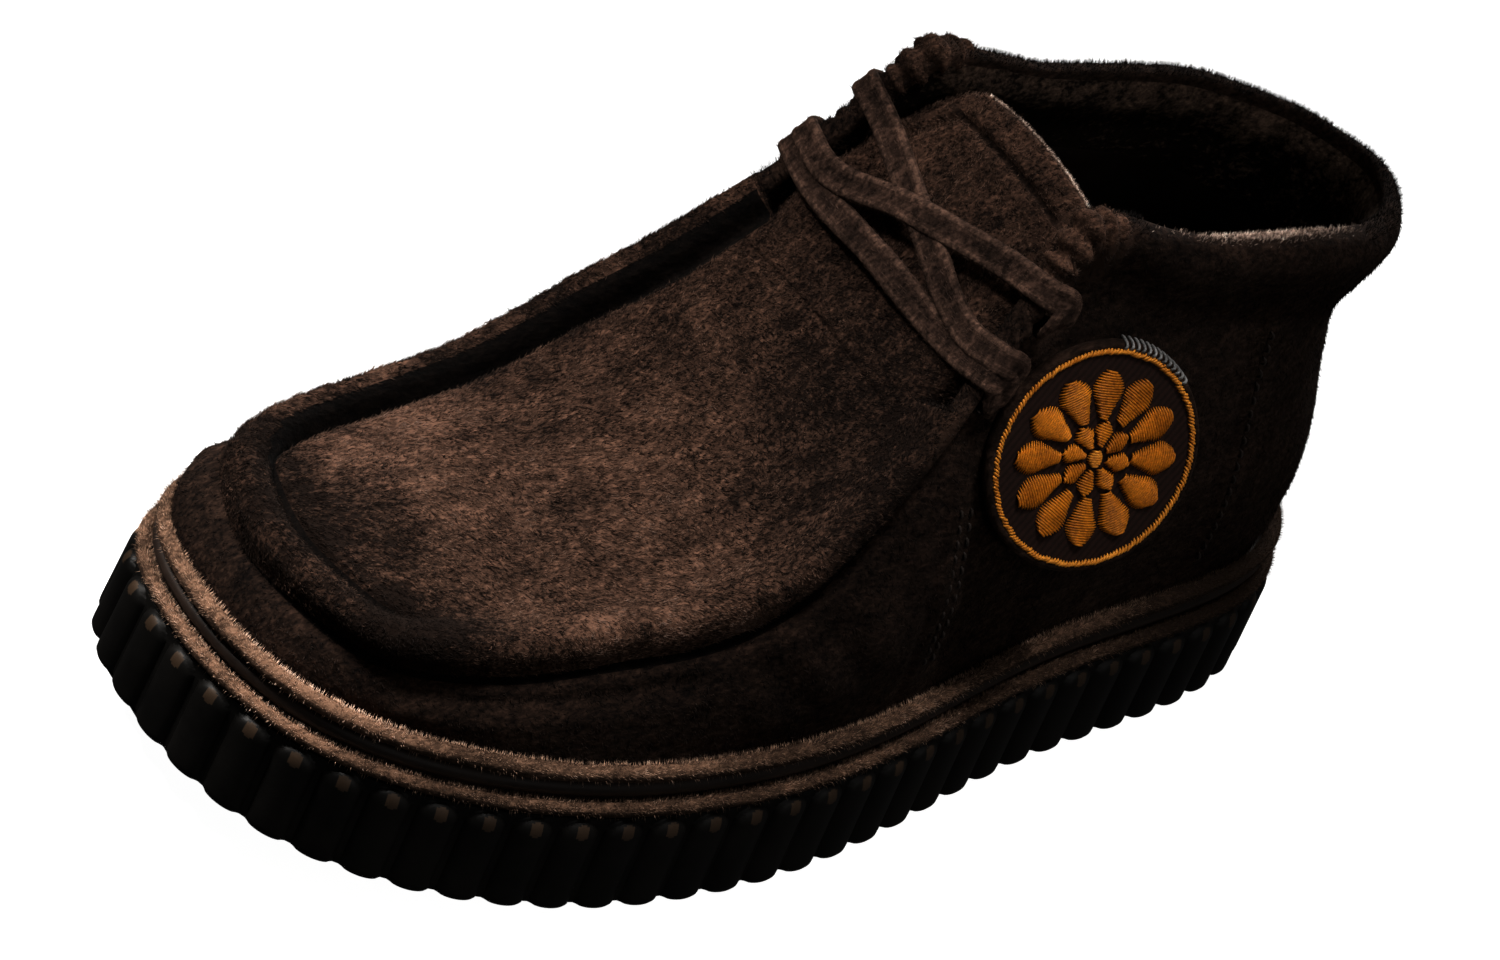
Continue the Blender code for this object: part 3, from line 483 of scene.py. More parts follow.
class Upper:
    """The upper's middle skin, as in the solids, read for many places at once."""

    def __init__(self):
        turns = [row.share for row in UPPER_TOP] + [2.0 - row.share for row in UPPER_TOP[-2:0:-1]]
        values = [(row.x, row.outer_y, row.z, *row[5:]) for row in UPPER_TOP]
        values += [(row.x, row.inner_y, row.z, *row[5:]) for row in UPPER_TOP[-2:0:-1]]
        knots = [turns[-2] - 2.0, turns[-1] - 2.0] + turns + [2.0, 2.0 + turns[1]]
        self.table = soft_table(knots, values[-2:] + values + values[:2])
        self.plan = self.table(np.linspace(THROAT_SHARE, 2.0 - THROAT_SHARE, 2000))
        self.tip = int(np.argmax(self.plan[:, 0]))

    def foot(self, turns):
        point, outward = EDGE.read(EDGE.turn(turns))
        point = point - FEATHER_INSET * outward
        return np.column_stack([point, FEATHER_Z + spring(point[:, 0], SPRING_WELT)]), outward

    def wall(self, turns, shares):
        """Points for turns (n) and shares (n, m)."""
        turns = np.atleast_1d(turns)
        shares = np.asarray(shares, float).reshape(len(turns), -1)
        foot, outward = self.foot(turns)
        row = self.table(turns)
        rise = row[:, :3] - foot
        along = np.column_stack([outward[:, 1], -outward[:, 0], np.zeros(len(turns))])
        normal = unit(np.cross(rise, along))
        normal *= np.sign(np.sum(normal[:, :2] * outward, axis=1))[:, None]
        low = BULGE_SCALE * shares ** 2 * (1 - shares) ** 4
        high = BULGE_SCALE * shares ** 4 * (1 - shares) ** 2
        bulge = row[:, [LOW]] * low + row[:, [HIGH]] * high
        return foot[:, None] + shares[..., None] * rise[:, None] + normal[:, None] * bulge[..., None]

    def height(self, turns):
        return np.linalg.norm(self.table(turns)[:, :3] - self.foot(turns)[0], axis=1)

    def below(self, turn, distance):
        """Point and outward normal on the wall at a distance below its top."""
        share = 1.0 - distance / self.height(np.array([turn]))[0]
        turns = np.array([turn - TURN_STEP, turn + TURN_STEP, turn])
        near = self.wall(turns, np.full((3, 1), share))[:, 0]
        line = self.wall(np.array([turn]), np.array([[share - SHARE_STEP, share + SHARE_STEP]]))[0]
        normal = unit(np.cross(near[1] - near[0], line[1] - line[0]))
        outward = self.foot(np.array([turn]))[1][0]
        return near[2], normal * np.sign(np.dot(normal[:2], outward))

    def apron(self, place):
        """Points of the apron over places (..., 2) in plan."""
        x = np.minimum(place[..., 0], self.plan[self.tip, 0] - 0.01)
        y = place[..., 1]
        outer, inner = ([np.interp(x, rows[:, 0], rows[:, column]) for column in (1, 2, CROWN)]
                        for rows in (self.plan[:self.tip + 1], self.plan[self.tip:][::-1]))
        middle = 0.5 * (outer[0] + inner[0])
        half = np.maximum(0.5 * (outer[0] - inner[0]), 0.01)
        across = np.clip((y - middle) / half, -1.0, 1.0)
        base = outer[1] + (inner[1] - outer[1]) * 0.5 * (1.0 - across)
        return np.stack([x, y, base + outer[2] * (1.0 - across ** 2)], axis=-1)

    def inward(self, turns):
        along = (self.table(turns + TURN_STEP) - self.table(turns - TURN_STEP))[:, :2]
        return unit(np.column_stack([along[:, 1], -along[:, 0]]))

    def throat_x(self):
        turn = np.array([THROAT_SHARE])
        row = self.table(turn)[0]
        return row[0] + self.inward(turn)[0, 0] * INNER_REACH[2] * row[ROLL]


UPPER = Upper()


# materials

class Nodes:
    """Small helper that lays out one procedural material."""

    def __init__(self, name):
        self.material = bpy.data.materials.new(name)
        self.material.use_nodes = True
        self.tree = self.material.node_tree
        self.shader = self.tree.nodes["Principled BSDF"]
        self.place = self.add("ShaderNodeTexCoord").outputs["Object"]

    def add(self, kind, **settings):
        node = self.tree.nodes.new(kind)
        for key, value in settings.items():
            setattr(node, key, value)
        return node

    def link(self, source, target):
        self.tree.links.new(source, target)

    def feed(self, node, **values):
        for name, value in values.items():
            node.inputs[name.replace("_", " ")].default_value = value

    def set(self, **values):
        self.feed(self.shader, **values)

    def noise(self, scale, detail=3.0, rough=0.55, stretch=None):
        node = self.add("ShaderNodeTexNoise")
        self.feed(node, Scale=scale, Detail=detail, Roughness=rough)
        source = self.place
        if stretch is not None:
            mapping = self.add("ShaderNodeMapping")
            self.feed(mapping, Rotation=stretch[0], Scale=stretch[1])
            self.link(self.place, mapping.inputs["Vector"])
            source = mapping.outputs["Vector"]
        self.link(source, node.inputs["Vector"])
        return node.outputs["Fac"]

    def math(self, operation, first, second):
        node = self.add("ShaderNodeMath", operation=operation)
        for socket, source in zip(node.inputs, (first, second)):
            if hasattr(source, "links"):
                self.link(source, socket)
            else:
                socket.default_value = source
        return node.outputs["Value"]

    def total(self, *parts):
        """Weighted sum of sources."""
        level = None
        for source, weight in parts:
            part = self.math("MULTIPLY", source, weight)
            level = part if level is None else self.math("ADD", level, part)
        return level

    def near(self, level, blotches):
        """Raise or lower a level around places given in the shoe's own millimetres."""
        for place, radius, amount in blotches:
            node = self.add("ShaderNodeVectorMath", operation="DISTANCE")
            self.link(self.place, node.inputs[0])
            node.inputs[1].default_value = [MM * value for value in place]
            fade = self.add("ShaderNodeMapRange", interpolation_type="SMOOTHERSTEP")
            self.link(node.outputs["Value"], fade.inputs["Value"])
            self.feed(fade, From_Min=0.0, From_Max=radius * MM, To_Min=amount, To_Max=0.0)
            level = self.math("ADD", level, fade.outputs["Result"])
        return level

    def paint(self, name, source, *stops):
        """Lead a source through a ramp of places and colours, or greys, to one input of the shader."""
        node = self.add("ShaderNodeValToRGB")
        while len(node.color_ramp.elements) < len(stops):
            node.color_ramp.elements.new(0.5)
        for element, (where, colour) in zip(node.color_ramp.elements, stops):
            element.position = where
            element.color = (*(colour if isinstance(colour, tuple) else (colour,) * 3), 1.0)
        self.link(source, node.inputs["Fac"])
        self.link(node.outputs["Color"], self.shader.inputs[name])

    def bump(self, *layers):
        normal = None
        for height, strength, distance in layers:
            node = self.add("ShaderNodeBump")
            self.feed(node, Strength=strength, Distance=distance * MM)
            self.link(height, node.inputs["Height"])
            if normal is not None:
                self.link(normal, node.inputs["Normal"])
            normal = node.outputs["Normal"]
        self.link(normal, self.shader.inputs["Normal"])


NAP_SCALE = 950.0
NAP_GRAIN = (0.6, 1.2, 1.0)
STREAK_GRAIN = (0.45, 1.5, 1.0)
NAP_TINT = (0.50, 0.32, 0.23, 1.0)


def suede(name, dark, light, sheen, blotches=(), turn=(0.0, 0.0, 0.5)):
    """Napped suede: fibre specks, brushed streaks, cloudy patches and listed places made lighter or darker,
    most of them painted light and shade.
    """
    nodes = Nodes(name)
    fibre = nodes.noise(NAP_SCALE, 4.0, 0.65, (turn, NAP_GRAIN))
    clump = nodes.noise(0.42 * NAP_SCALE, 3.0, 0.6, (turn, NAP_GRAIN))
    streak = nodes.noise(130.0, 3.0, 0.6, (turn, STREAK_GRAIN))
    cloud = nodes.noise(38.0, 3.0, 0.6)
    level = nodes.total((fibre, 0.44), (clump, 0.22), (streak, 0.18), (cloud, 0.16))
    level = nodes.near(level, blotches)
    middle = tuple(0.42 * a + 0.58 * b for a, b in zip(dark, light))
    pale = tuple(min(1.0, 2.1 * value) for value in light)
    nodes.paint("Base Color", level, (0.415, dark), (0.475, middle), (0.52, light), (0.59, pale))
    nodes.bump((streak, 0.5, 0.6), (clump, 0.8, 0.5), (fibre, 0.9, 0.35))
    nodes.set(Roughness=0.95, Specular_IOR_Level=0.10, Sheen_Weight=sheen, Sheen_Roughness=0.38,
              Sheen_Tint=NAP_TINT)
    return nodes.material


def fibres(name, dark, light, blotches=()):
    """Loose fibres of the nap: soft colour changes from place to place, no bump."""
    nodes = Nodes(name)
    speck = nodes.noise(NAP_SCALE, 2.0, 0.6)
    cloud = nodes.noise(38.0, 3.0, 0.6)
    patch = nodes.noise(130.0, 3.0, 0.6)
    level = nodes.near(nodes.total((speck, 0.50), (cloud, 0.20), (patch, 0.30)), blotches)
    grey = sum(light) / 3.0
    pale = tuple(min(1.0, 1.6 * (0.7 * value + 0.3 * grey)) for value in light)
    nodes.paint("Base Color", level, (0.44, dark), (0.56, light), (0.64, pale))
    nodes.set(Roughness=0.9, Specular_IOR_Level=0.15)
    return nodes.material


def smooth_leather(name, dark, light, rough):
    nodes = Nodes(name)
    grain = nodes.add("ShaderNodeTexVoronoi", feature="DISTANCE_TO_EDGE")
    nodes.feed(grain, Scale=700.0)
    nodes.link(nodes.place, grain.inputs["Vector"])
    cloud = nodes.noise(40.0, 4.0, 0.6)
    nodes.paint("Base Color", cloud, (0.32, dark), (0.68, light))
    nodes.paint("Roughness", nodes.noise(90.0), (0.3, rough - 0.08), (0.7, rough + 0.1))
    nodes.bump((grain.outputs["Distance"], 0.35, 0.12), (cloud, 0.2, 0.6))
    nodes.set(Specular_IOR_Level=0.35)
    return nodes.material


def rubber(name, dark, light, rough):
    """Moulded rubber with fine mould texture, dust and rubbed places."""
    nodes = Nodes(name)
    fine = nodes.noise(1500.0, 2.0, 0.5)
    cloud = nodes.noise(60.0, 4.0, 0.6)
    nodes.paint("Base Color", cloud, (0.35, dark), (0.70, light))
    nodes.paint("Roughness", cloud, (0.3, rough - 0.07), (0.7, rough + 0.12))
    nodes.bump((fine, 0.25, 0.08), (cloud, 0.12, 0.5))
    nodes.set(Specular_IOR_Level=0.30)
    return nodes.material


def twill(name, dark, light):
    """Woven ground of the patch: fine slanted ribs."""
    nodes = Nodes(name)
    wave = nodes.add("ShaderNodeTexWave", wave_type="BANDS", bands_direction="DIAGONAL")
    nodes.feed(wave, Scale=520.0, Distortion=1.2, Detail=2.0, Detail_Scale=3.0)
    nodes.link(nodes.place, wave.inputs["Vector"])
    speck = nodes.noise(900.0, 2.0, 0.6)
    level = nodes.total((wave.outputs["Fac"], 0.5), (speck, 0.5))
    nodes.paint("Base Color", level, (0.25, dark), (0.75, light))
    nodes.bump((wave.outputs["Fac"], 0.5, 0.2), (speck, 0.4, 0.15))
    nodes.set(Roughness=0.85, Specular_IOR_Level=0.2, Sheen_Weight=0.15, Sheen_Roughness=0.5,
              Sheen_Tint=(0.6, 0.4, 0.3, 1.0))
    return nodes.material


def thread(name, dark, light, rough=0.5):
    """Embroidery thread with twist and a soft sheen."""
    nodes = Nodes(name)
    speck = nodes.noise(1500.0, 3.0, 0.6)
    cloud = nodes.noise(160.0, 2.0, 0.5)
    nodes.paint("Base Color", nodes.total((speck, 0.55), (cloud, 0.45)), (0.36, dark), (0.64, light))
    nodes.bump((speck, 0.5, 0.15))
    nodes.set(Roughness=rough, Specular_IOR_Level=0.35, Sheen_Weight=0.2, Sheen_Roughness=0.4,
              Sheen_Tint=(*light, 1.0))
    return nodes.material


def tones(points, reach, change):
    return tuple((tuple(point[:3]), reach, change) for point in points)


# lighter and darker places of the nap, most of them painted light and shade: place, reach and change of level
FAR_ROLL_TURNS = np.array((0.81, 0.85, 0.89, 0.92, 0.96, 1.00, 1.04, 1.09, 1.16, 1.24, 1.32, 1.40, 1.46))
TOE_TURNS = np.array((0.885, 0.92, 0.95, 0.98, 1.01, 1.05, 1.10))
DIMPLE_TURNS = np.array((0.88, 0.93, 0.985, 1.03, 1.08))
COLLAR_TURNS = np.concatenate([np.linspace(0.0, 0.40, 11), np.linspace(1.60, 1.96, 10)])
TOE_EDGE = UPPER.table(TOE_TURNS)
TOE_EDGE[:, :2] += 1.15 * TOE_EDGE[:, [ROLL]] * UPPER.inward(TOE_TURNS)
APRON_TONE_LIGHT_AND_SHADE = (
    # lighter toe and ball, painted highlight along the crest of the near seam, darker places at the toe,
    # painted shade over the instep, most on its near side, and towards the throat, then a painted highlight
    # on the near corner
    ((84.0, -24.0, 59.0), 34.0, 0.034), ((107.0, -25.0, 57.0), 22.0, 0.030),
    ((52.0, 21.0, 66.0), 24.0, 0.006), ((64.2, 38.6, 61.0), 10.0, 0.090),
    ((78.9, 35.4, 59.5), 9.0, 0.080), ((47.0, 41.5, 62.0), 10.0, 0.075),
    ((113.0, -7.0, 58.0), 22.0, -0.085), ((110.0, 8.0, 57.6), 15.0, -0.035),
    ((18.0, 26.0, 91.0), 42.0, -0.100), ((22.0, -15.0, 95.0), 42.0, -0.030),
    ((-8.0, 0.0, 122.0), 36.0, -0.030), ((-14.0, 26.0, 131.0), 15.0, 0.110),
)
# painted shade on the roll along the far side and round the toe
APRON_TONE_LIGHT_AND_SHADE += tones(UPPER.table(FAR_ROLL_TURNS), 16.0, -0.085)
# painted shadow of the toe's roll on the apron just inside it, in blotches of two sizes
for edge_number in range(len(TOE_TURNS)):
    APRON_TONE_LIGHT_AND_SHADE += tones(TOE_EDGE[[edge_number]], 5.5 + 2.5 * (edge_number % 2), -0.085)
WALL_LIGHT_AND_SHADE = (
    # painted highlights on the rolled corners and throat edges, which the light catches, and painted light on
    # the toe
    ((-17.0, 25.5, 134.0), 13.0, 0.190), ((-14.0, -29.0, 138.0), 12.0, 0.130),
    ((-7.0, 27.0, 124.0), 11.0, 0.085), ((3.0, 30.5, 111.0), 11.0, 0.085),
    ((10.0, 33.0, 100.0), 10.0, 0.085), ((-6.0, -32.0, 125.0), 10.0, 0.070),
    ((4.0, -36.0, 110.0), 11.0, 0.070), ((119.0, -2.0, 44.0), 42.0, 0.020),
)
# painted shade of small dimples round the toe wall, about halfway up
WALL_LIGHT_AND_SHADE += tones(UPPER.wall(DIMPLE_TURNS, np.full((len(DIMPLE_TURNS), 1), 0.55))[:, 0], 7.0, -0.06)
PIPING_LIGHT_AND_SHADE = (
    # painted light around the toe, painted shade at the heel and behind the far side of the toe
    ((132.0, 10.0, 32.0), 66.0, 0.072), ((-120.0, 34.0, 32.0), 82.0, -0.150),
    ((112.0, -50.0, 34.0), 34.0, -0.200),
)
# collar band: painted light just below the collar's top line, painted shade further down
BAND_LIGHT_AND_SHADE = (((-70.0, -4.0, 110.0), 400.0, -0.120),)
BAND_LIGHT_AND_SHADE += tones(UPPER.table(COLLAR_TURNS)[:, :3] - (0.0, 0.0, 3.0), 14.0, 0.110)

SUEDE = suede("suede", (0.0100, 0.0056, 0.0038), (0.064, 0.0360, 0.0248), 0.06, APRON_TONE_LIGHT_AND_SHADE)
# suede and nap of the walls are darker: partly the panels' own colour, partly painted shade of the upright
# walls
WALL_SUEDE_AND_SHADE = suede("wall_suede_and_shade", (0.0040, 0.0024, 0.0018), (0.022, 0.0128, 0.0090), 0.04, WALL_LIGHT_AND_SHADE,
                   (0.4, 0.0, 0.2))
SUEDE_NAP = fibres("suede_nap", (0.012, 0.0069, 0.0048), (0.136, 0.081, 0.057), APRON_TONE_LIGHT_AND_SHADE)
WALL_NAP_AND_SHADE = fibres("wall_nap_and_shade", (0.0030, 0.0018, 0.0014), (0.034, 0.0210, 0.0153), WALL_LIGHT_AND_SHADE)
# darker fibres on the collar rim: painted shade; pale fibres: painted highlights on the near rim and the
# tongue's top edge
RIM_SHADE_NAP = fibres("rim_shade_nap", (0.0024, 0.0015, 0.0012), (0.013, 0.0082, 0.0062), WALL_LIGHT_AND_SHADE)
HIGHLIGHT_NAP = fibres("collar_highlight_nap", (0.160, 0.112, 0.090), (0.820, 0.640, 0.540))
PIPING_NAP = fibres("piping_nap", (0.110, 0.069, 0.047), (0.620, 0.410, 0.290), PIPING_LIGHT_AND_SHADE)
LACE_NAP = fibres("lace_nap", (0.020, 0.0122, 0.0090), (0.100, 0.060, 0.044))
PIPING = suede("piping_suede", (0.034, 0.0206, 0.0140), (0.100, 0.061, 0.041), 0.12, PIPING_LIGHT_AND_SHADE)
# darker copy of the piping suede for each cord's underside: painted shade
PIPING_SHADED_SIDE = suede("piping_side_shade", (0.015, 0.0092, 0.0064), (0.050, 0.0305, 0.0206), 0.10, PIPING_LIGHT_AND_SHADE)
LACE = suede("lace_suede", (0.012, 0.0072, 0.0052), (0.052, 0.0310, 0.0228), 0.08)
# lighter copy of the lace suede for its raised edges, painted highlights, and a darker copy for its middle
# groove, painted shade
LACE_EDGE_HIGHLIGHT = suede("lace_edge_highlight", (0.021, 0.0127, 0.0093), (0.078, 0.0475, 0.0352), 0.08)
LACE_GROOVE_SHADE = suede("lace_groove_shade", (0.0100, 0.0060, 0.0044), (0.038, 0.0228, 0.0168), 0.04)
LINING = smooth_leather("lining_leather", (0.0045, 0.0030, 0.0020), (0.012, 0.0074, 0.0050), 0.52)
BAND = suede("collar_band", (0.0030, 0.0020, 0.0014), (0.070, 0.0460, 0.0330), 0.06, BAND_LIGHT_AND_SHADE)
# near-black suede in the grooves beside the roll: painted shade
PAINTED_GROOVE_SHADE = suede("groove_painted_shade", (0.0010, 0.0007, 0.0006), (0.0040, 0.0026, 0.0020), 0.0)
SOCK = smooth_leather("insole_leather", (0.0060, 0.0040, 0.0030), (0.015, 0.0098, 0.0070), 0.55)
OUTSOLE = rubber("sole_rubber", (0.0022, 0.0019, 0.0016), (0.0062, 0.0052, 0.0042), 0.48)
# browner rubber for the dots on the rib domes: painted highlight
RIB_DOME_HIGHLIGHT = rubber("rib_dome_highlight", (0.032, 0.0200, 0.0120), (0.062, 0.0390, 0.0235), 0.5)
MIDSOLE = rubber("midsole_rubber", (0.0180, 0.0114, 0.0084), (0.0420, 0.0275, 0.0210), 0.50)
PATCH_GROUND = twill("patch_twill", (0.010, 0.0042, 0.0030), (0.026, 0.0108, 0.0080))
PATCH_RIM = suede("patch_rim_suede", (0.008, 0.0048, 0.0034), (0.026, 0.0150, 0.0105), 0.08)
GOLD = thread("gold_thread", (0.340, 0.105, 0.005), (0.860, 0.325, 0.020))
AMBER = thread("amber_thread", (0.480, 0.160, 0.010), (0.980, 0.440, 0.060))
GREY = thread("grey_thread", (0.12, 0.12, 0.12), (0.36, 0.36, 0.36))
SEAM_THREAD = thread("seam_thread", (0.010, 0.0066, 0.005), (0.038, 0.026, 0.021), 0.7)

# fibres of each napped piece: count, seed, material, length and width, lean from the surface, straying
Nap = namedtuple("Nap", "count seed material size lean stray", defaults=(0.45,))
PIPING_FIBRES = Nap(20000, 12, PIPING_NAP, (0.95, 0.11), (0.0, 0.4), 0.2)
NAPS = {
    "lower_piping_nap": PIPING_FIBRES,
    "upper_piping_nap": PIPING_FIBRES,
    "apron_nap": Nap(46000, 11, SUEDE_NAP, (1.25, 0.22), (0.95, 1.35)),
    "wall_nap_and_shade": Nap(40000, 12, WALL_NAP_AND_SHADE, (1.15, 0.20), (1.0, 1.4)),
    "collar_highlight_nap": Nap(1700, 13, HIGHLIGHT_NAP, (0.85, 0.13), (0.2, 0.9)),
    "rim_shade_nap": Nap(7000, 14, RIM_SHADE_NAP, (1.2, 0.17), (0.2, 0.9)),
    "corner_nap": Nap(4500, 41, SUEDE_NAP, (0.85, 0.15), (0.5, 1.2)),
    "tongue_edge_highlight_nap": Nap(900, 32, HIGHLIGHT_NAP, (0.9, 0.14), (0.4, 1.2)),
    "tongue_nap": Nap(12000, 31, SUEDE_NAP, (1.2, 0.20), (0.7, 1.3)),
    "lace_nap": Nap(5000, 21, LACE_NAP, (1.1, 0.13), (1.0, 1.45), 0.2),
}
FIBRE_ROOT = 0.12
FIBRE_FACES = np.array(((0, 1, 3), (1, 2, 3), (2, 0, 3), (2, 1, 0)))
FIBRE_MAP = np.array(((0.05, 0.05), (0.95, 0.05), (0.5, 0.95)))
FIBRE_QUARTERS = np.array(((0, 0), (1, 0), (0, 1), (1, 1)))


# making pieces

def make_mesh(name, vertices, faces):
    mesh = bpy.data.meshes.new(name)
    mesh.from_pydata((np.asarray(vertices) * MM).tolist(), [], faces)
    mesh.update()
    return mesh


def add_piece(name, vertices, faces, materials, slot, replaced=(), face_materials=None, sharp=None):
    mesh = make_mesh(name, vertices, faces)
    mesh.shade_smooth()
    if sharp is not None:
        mesh.set_sharp_from_angle(angle=math.radians(sharp))
    for material in materials:
        mesh.materials.append(material)
    if face_materials is not None:
        mesh.polygons.foreach_set("material_index", np.asarray(face_materials, np.int32))
    item = bpy.data.objects.new(name, mesh)
    bpy.context.scene.collection.objects.link(item)
    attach(item, BODY)
    for node in replaced:
        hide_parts(node)
    return item


def cut_away(item, vertices, faces):
    """Cut a form out of a piece and keep the result as its mesh."""
    cutter = bpy.data.objects.new("cutter", make_mesh("cutter", vertices, faces))
    bpy.context.scene.collection.objects.link(cutter)
    modifier = item.modifiers.new("cut", "BOOLEAN")
    modifier.operation = "DIFFERENCE"
    modifier.solver = "EXACT"
    modifier.object = cutter
    bpy.context.view_layer.update()
    whole = item.evaluated_get(bpy.context.evaluated_depsgraph_get())
    mesh = bpy.data.meshes.new_from_object(whole)
    item.modifiers.clear()
    old = item.data
    item.data = mesh
    bpy.data.meshes.remove(old)
    bpy.data.objects.remove(cutter, do_unlink=True)


def vertex_normals(vertices, faces):
    mesh = make_mesh("measure", vertices, faces)
    normals = np.empty(len(vertices) * 3)
    mesh.vertex_normals.foreach_get("vector", normals)
    bpy.data.meshes.remove(mesh)
    return normals.reshape(-1, 3)


def turned(faces):
    return [tuple(reversed(face)) for face in faces]


def under_faces(faces, count):
    """The same faces on the other side of a sheet, whose points come count places later."""
    return [tuple(count + index for index in reversed(face)) for face in faces]


def joining_faces(ring, count):
    """Faces between a ring of points and its copy count places later."""
    return [(after, here, count + here, count + after) for here, after in zip(ring, ring[1:] + ring[:1])]


def grid_faces(rows, columns, wrap=False):
    """Quads of a grid of rows by columns; wrap closes each row into a ring."""
    faces = []
    for row in range(rows - 1):
        low, high = row * columns, (row + 1) * columns
        for column in range(columns if wrap else columns - 1):
            following = (column + 1) % columns
            faces.append((low + column, low + following, high + following, high + column))
    return faces


def ring_faces(rows, sides):
    """Faces of a stack of rings with both ends closed."""
    last = (rows - 1) * sides
    ends = [tuple(range(sides)), tuple(range(last + sides - 1, last - 1, -1))]
    return turned(grid_faces(rows, sides, True)) + ends


def strip_faces(count, split, start):
    """Strips across a flat outline whose two sides meet at column 0 and at the split column."""
    outer = list(range(0, split + 1))
    inner = [0] + list(range(count - 1, split - 1, -1))
    steps = max(len(outer), len(inner)) - 1
    faces = []
    previous = (0, 0)
    for step in range(1, steps + 1):
        current = (round(step * (len(outer) - 1) / steps), round(step * (len(inner) - 1) / steps))
        face = [outer[previous[0]], outer[current[0]], inner[current[1]], inner[previous[1]]]
        face = [start + index for index in dict.fromkeys(face)]
        if len(face) > 2:
            faces.append(tuple(face))
        previous = current
    return faces


def sole_faces(rows, travelled):
    """Faces of a stack of sole outlines with flat ends."""
    count = len(travelled)
    split = int(np.argmin(np.abs(travelled - EDGE.toe)))
    ends = strip_faces(count, split, 0) + turned(strip_faces(count, split, (rows - 1) * count))
    return turned(grid_faces(rows, count, True)) + ends


def tube(points, radii, facings, section=None, sides=8):
    """Closed tube along points; section gives points across (side, height) in units of the radii."""
    points = np.asarray(points, float)
    heading = unit(np.gradient(points, axis=0))
    if section is None:
        angles = 2 * np.pi * np.arange(sides) / sides
        section = np.column_stack([np.cos(angles), np.sin(angles)])
    across = unit(np.cross(heading, facings))
    up = np.cross(across, heading)
    radii = np.asarray(radii, float).reshape(len(points), -1)
    rings = points[:, None] + across[:, None] * (section[None, :, :1] * radii[:, 0, None, None])
    rings = rings + up[:, None] * (section[None, :, 1:] * radii[:, -1, None, None])
    return rings.reshape(-1, 3), ring_faces(len(points), len(section))


def join(parts):
    faces = []
    start = 0
    for points, quads in parts:
        faces += [tuple(start + index for index in face) for face in quads]
        start += len(points)
    return np.vstack([points for points, quads in parts]), faces


def scatter(points, faces, count, random, weight):
    """Random places on a surface, with its soft normals."""
    triangles = np.array([(face[0], *pair) for face in faces for pair in zip(face[1:], face[2:])])
    normals = vertex_normals(points, faces)
    corners = points[triangles]
    spread = np.cross(corners[:, 1] - corners[:, 0], corners[:, 2] - corners[:, 0])
    area = 0.5 * np.linalg.norm(spread, axis=1)
    if weight is not None:
        area = area * weight(corners.mean(axis=1), unit(normals[triangles].mean(axis=1)))
    chosen = random.choice(len(triangles), size=count, p=area / area.sum())
    shares = random.uniform(size=(count, 2))
    shares = np.where(shares.sum(axis=1, keepdims=True) > 1.0, 1.0 - shares, shares)
    parts = np.column_stack([1.0 - shares.sum(axis=1), shares])[..., None]
    return (corners[chosen] * parts).sum(axis=1), unit((normals[triangles[chosen]] * parts).sum(axis=1))


def add_nap(name, points, faces, slot, flow, weight=None):
    """Short tapered fibres that lean along the nap of a surface, each a small closed spike."""
    count, seed, material, size, lean, stray = NAPS[name]
    random = np.random.RandomState(seed)
    spots, normals = scatter(points, faces, count, random, weight)
    along = np.broadcast_to(flow(spots) if callable(flow) else np.asarray(flow, float), spots.shape)
    along = along + stray * random.normal(size=spots.shape)
    along = unit(along - np.sum(along * normals, axis=1, keepdims=True) * normals)
    angle = random.uniform(*lean, size=(count, 1))
    length = size[0] * random.uniform(0.55, 1.45, size=(count, 1))
    width = size[1] * random.uniform(0.7, 1.3, size=(count, 1))
    axis = normals * np.cos(angle) + along * np.sin(angle)
    side = np.cross(normals, along)
    third = np.cross(axis, side)
    root = spots - FIBRE_ROOT * normals
    left, right = root + 0.5 * width * side, root - 0.5 * width * side
    vertices = np.stack([left, right, root + 0.6 * width * third, spots + length * axis], axis=1)
    if np.sum(np.cross(side[0], third[0]) * axis[0]) > 0:
        vertices = vertices[:, [1, 0, 2, 3]]
    triangles = (4 * np.arange(count)[:, None, None] + FIBRE_FACES[None]).reshape(-1, 3)
    item = add_piece(name, vertices.reshape(-1, 3), triangles.tolist(), [material], slot)
    cells = math.ceil(math.sqrt(count))
    numbers = np.arange(count)
    cell = np.stack([numbers % cells, numbers // cells], axis=1)[:, None, None]
    places = (cell + 0.5 * (FIBRE_QUARTERS[None, :, None] + FIBRE_MAP[None, None])) / cells
    item.data.uv_layers.new(name="OFBake").uv.foreach_set("vector", places.astype(np.float32).ravel())


# sole

def build_plate(name, side, material):
    travelled = EDGE.even(PLATE_COLUMNS)
    rows = []
    for z, inset in side:
        place = EDGE.at(travelled, inset)
        rows.append(np.column_stack([place, z + spring(place[:, 0], SPRING_WELT)]))
    faces = sole_faces(len(side), travelled)
    add_piece(name, np.vstack(rows), faces, [material], name, [name], sharp=PLATE_SHARP)


def piping_flow(spots):
    """Nap of the pipings: up and away from the middle of the shoe."""
    away = spots.copy()
    away[:, 0] -= np.clip(spots[:, 0], *PIPING_ENDS_X)
    away[:, 1] += 2.0
    away[:, 2] = 0.0
    return unit(unit(away) + np.array((0.0, 0.0, 0.85)))


def piping_weight(spots, normals):
    # pale fibres mostly on the cord's top: a painted highlight
    return np.clip((normals[:, 2] - 0.05) / 0.5, 0.08, 1.0)


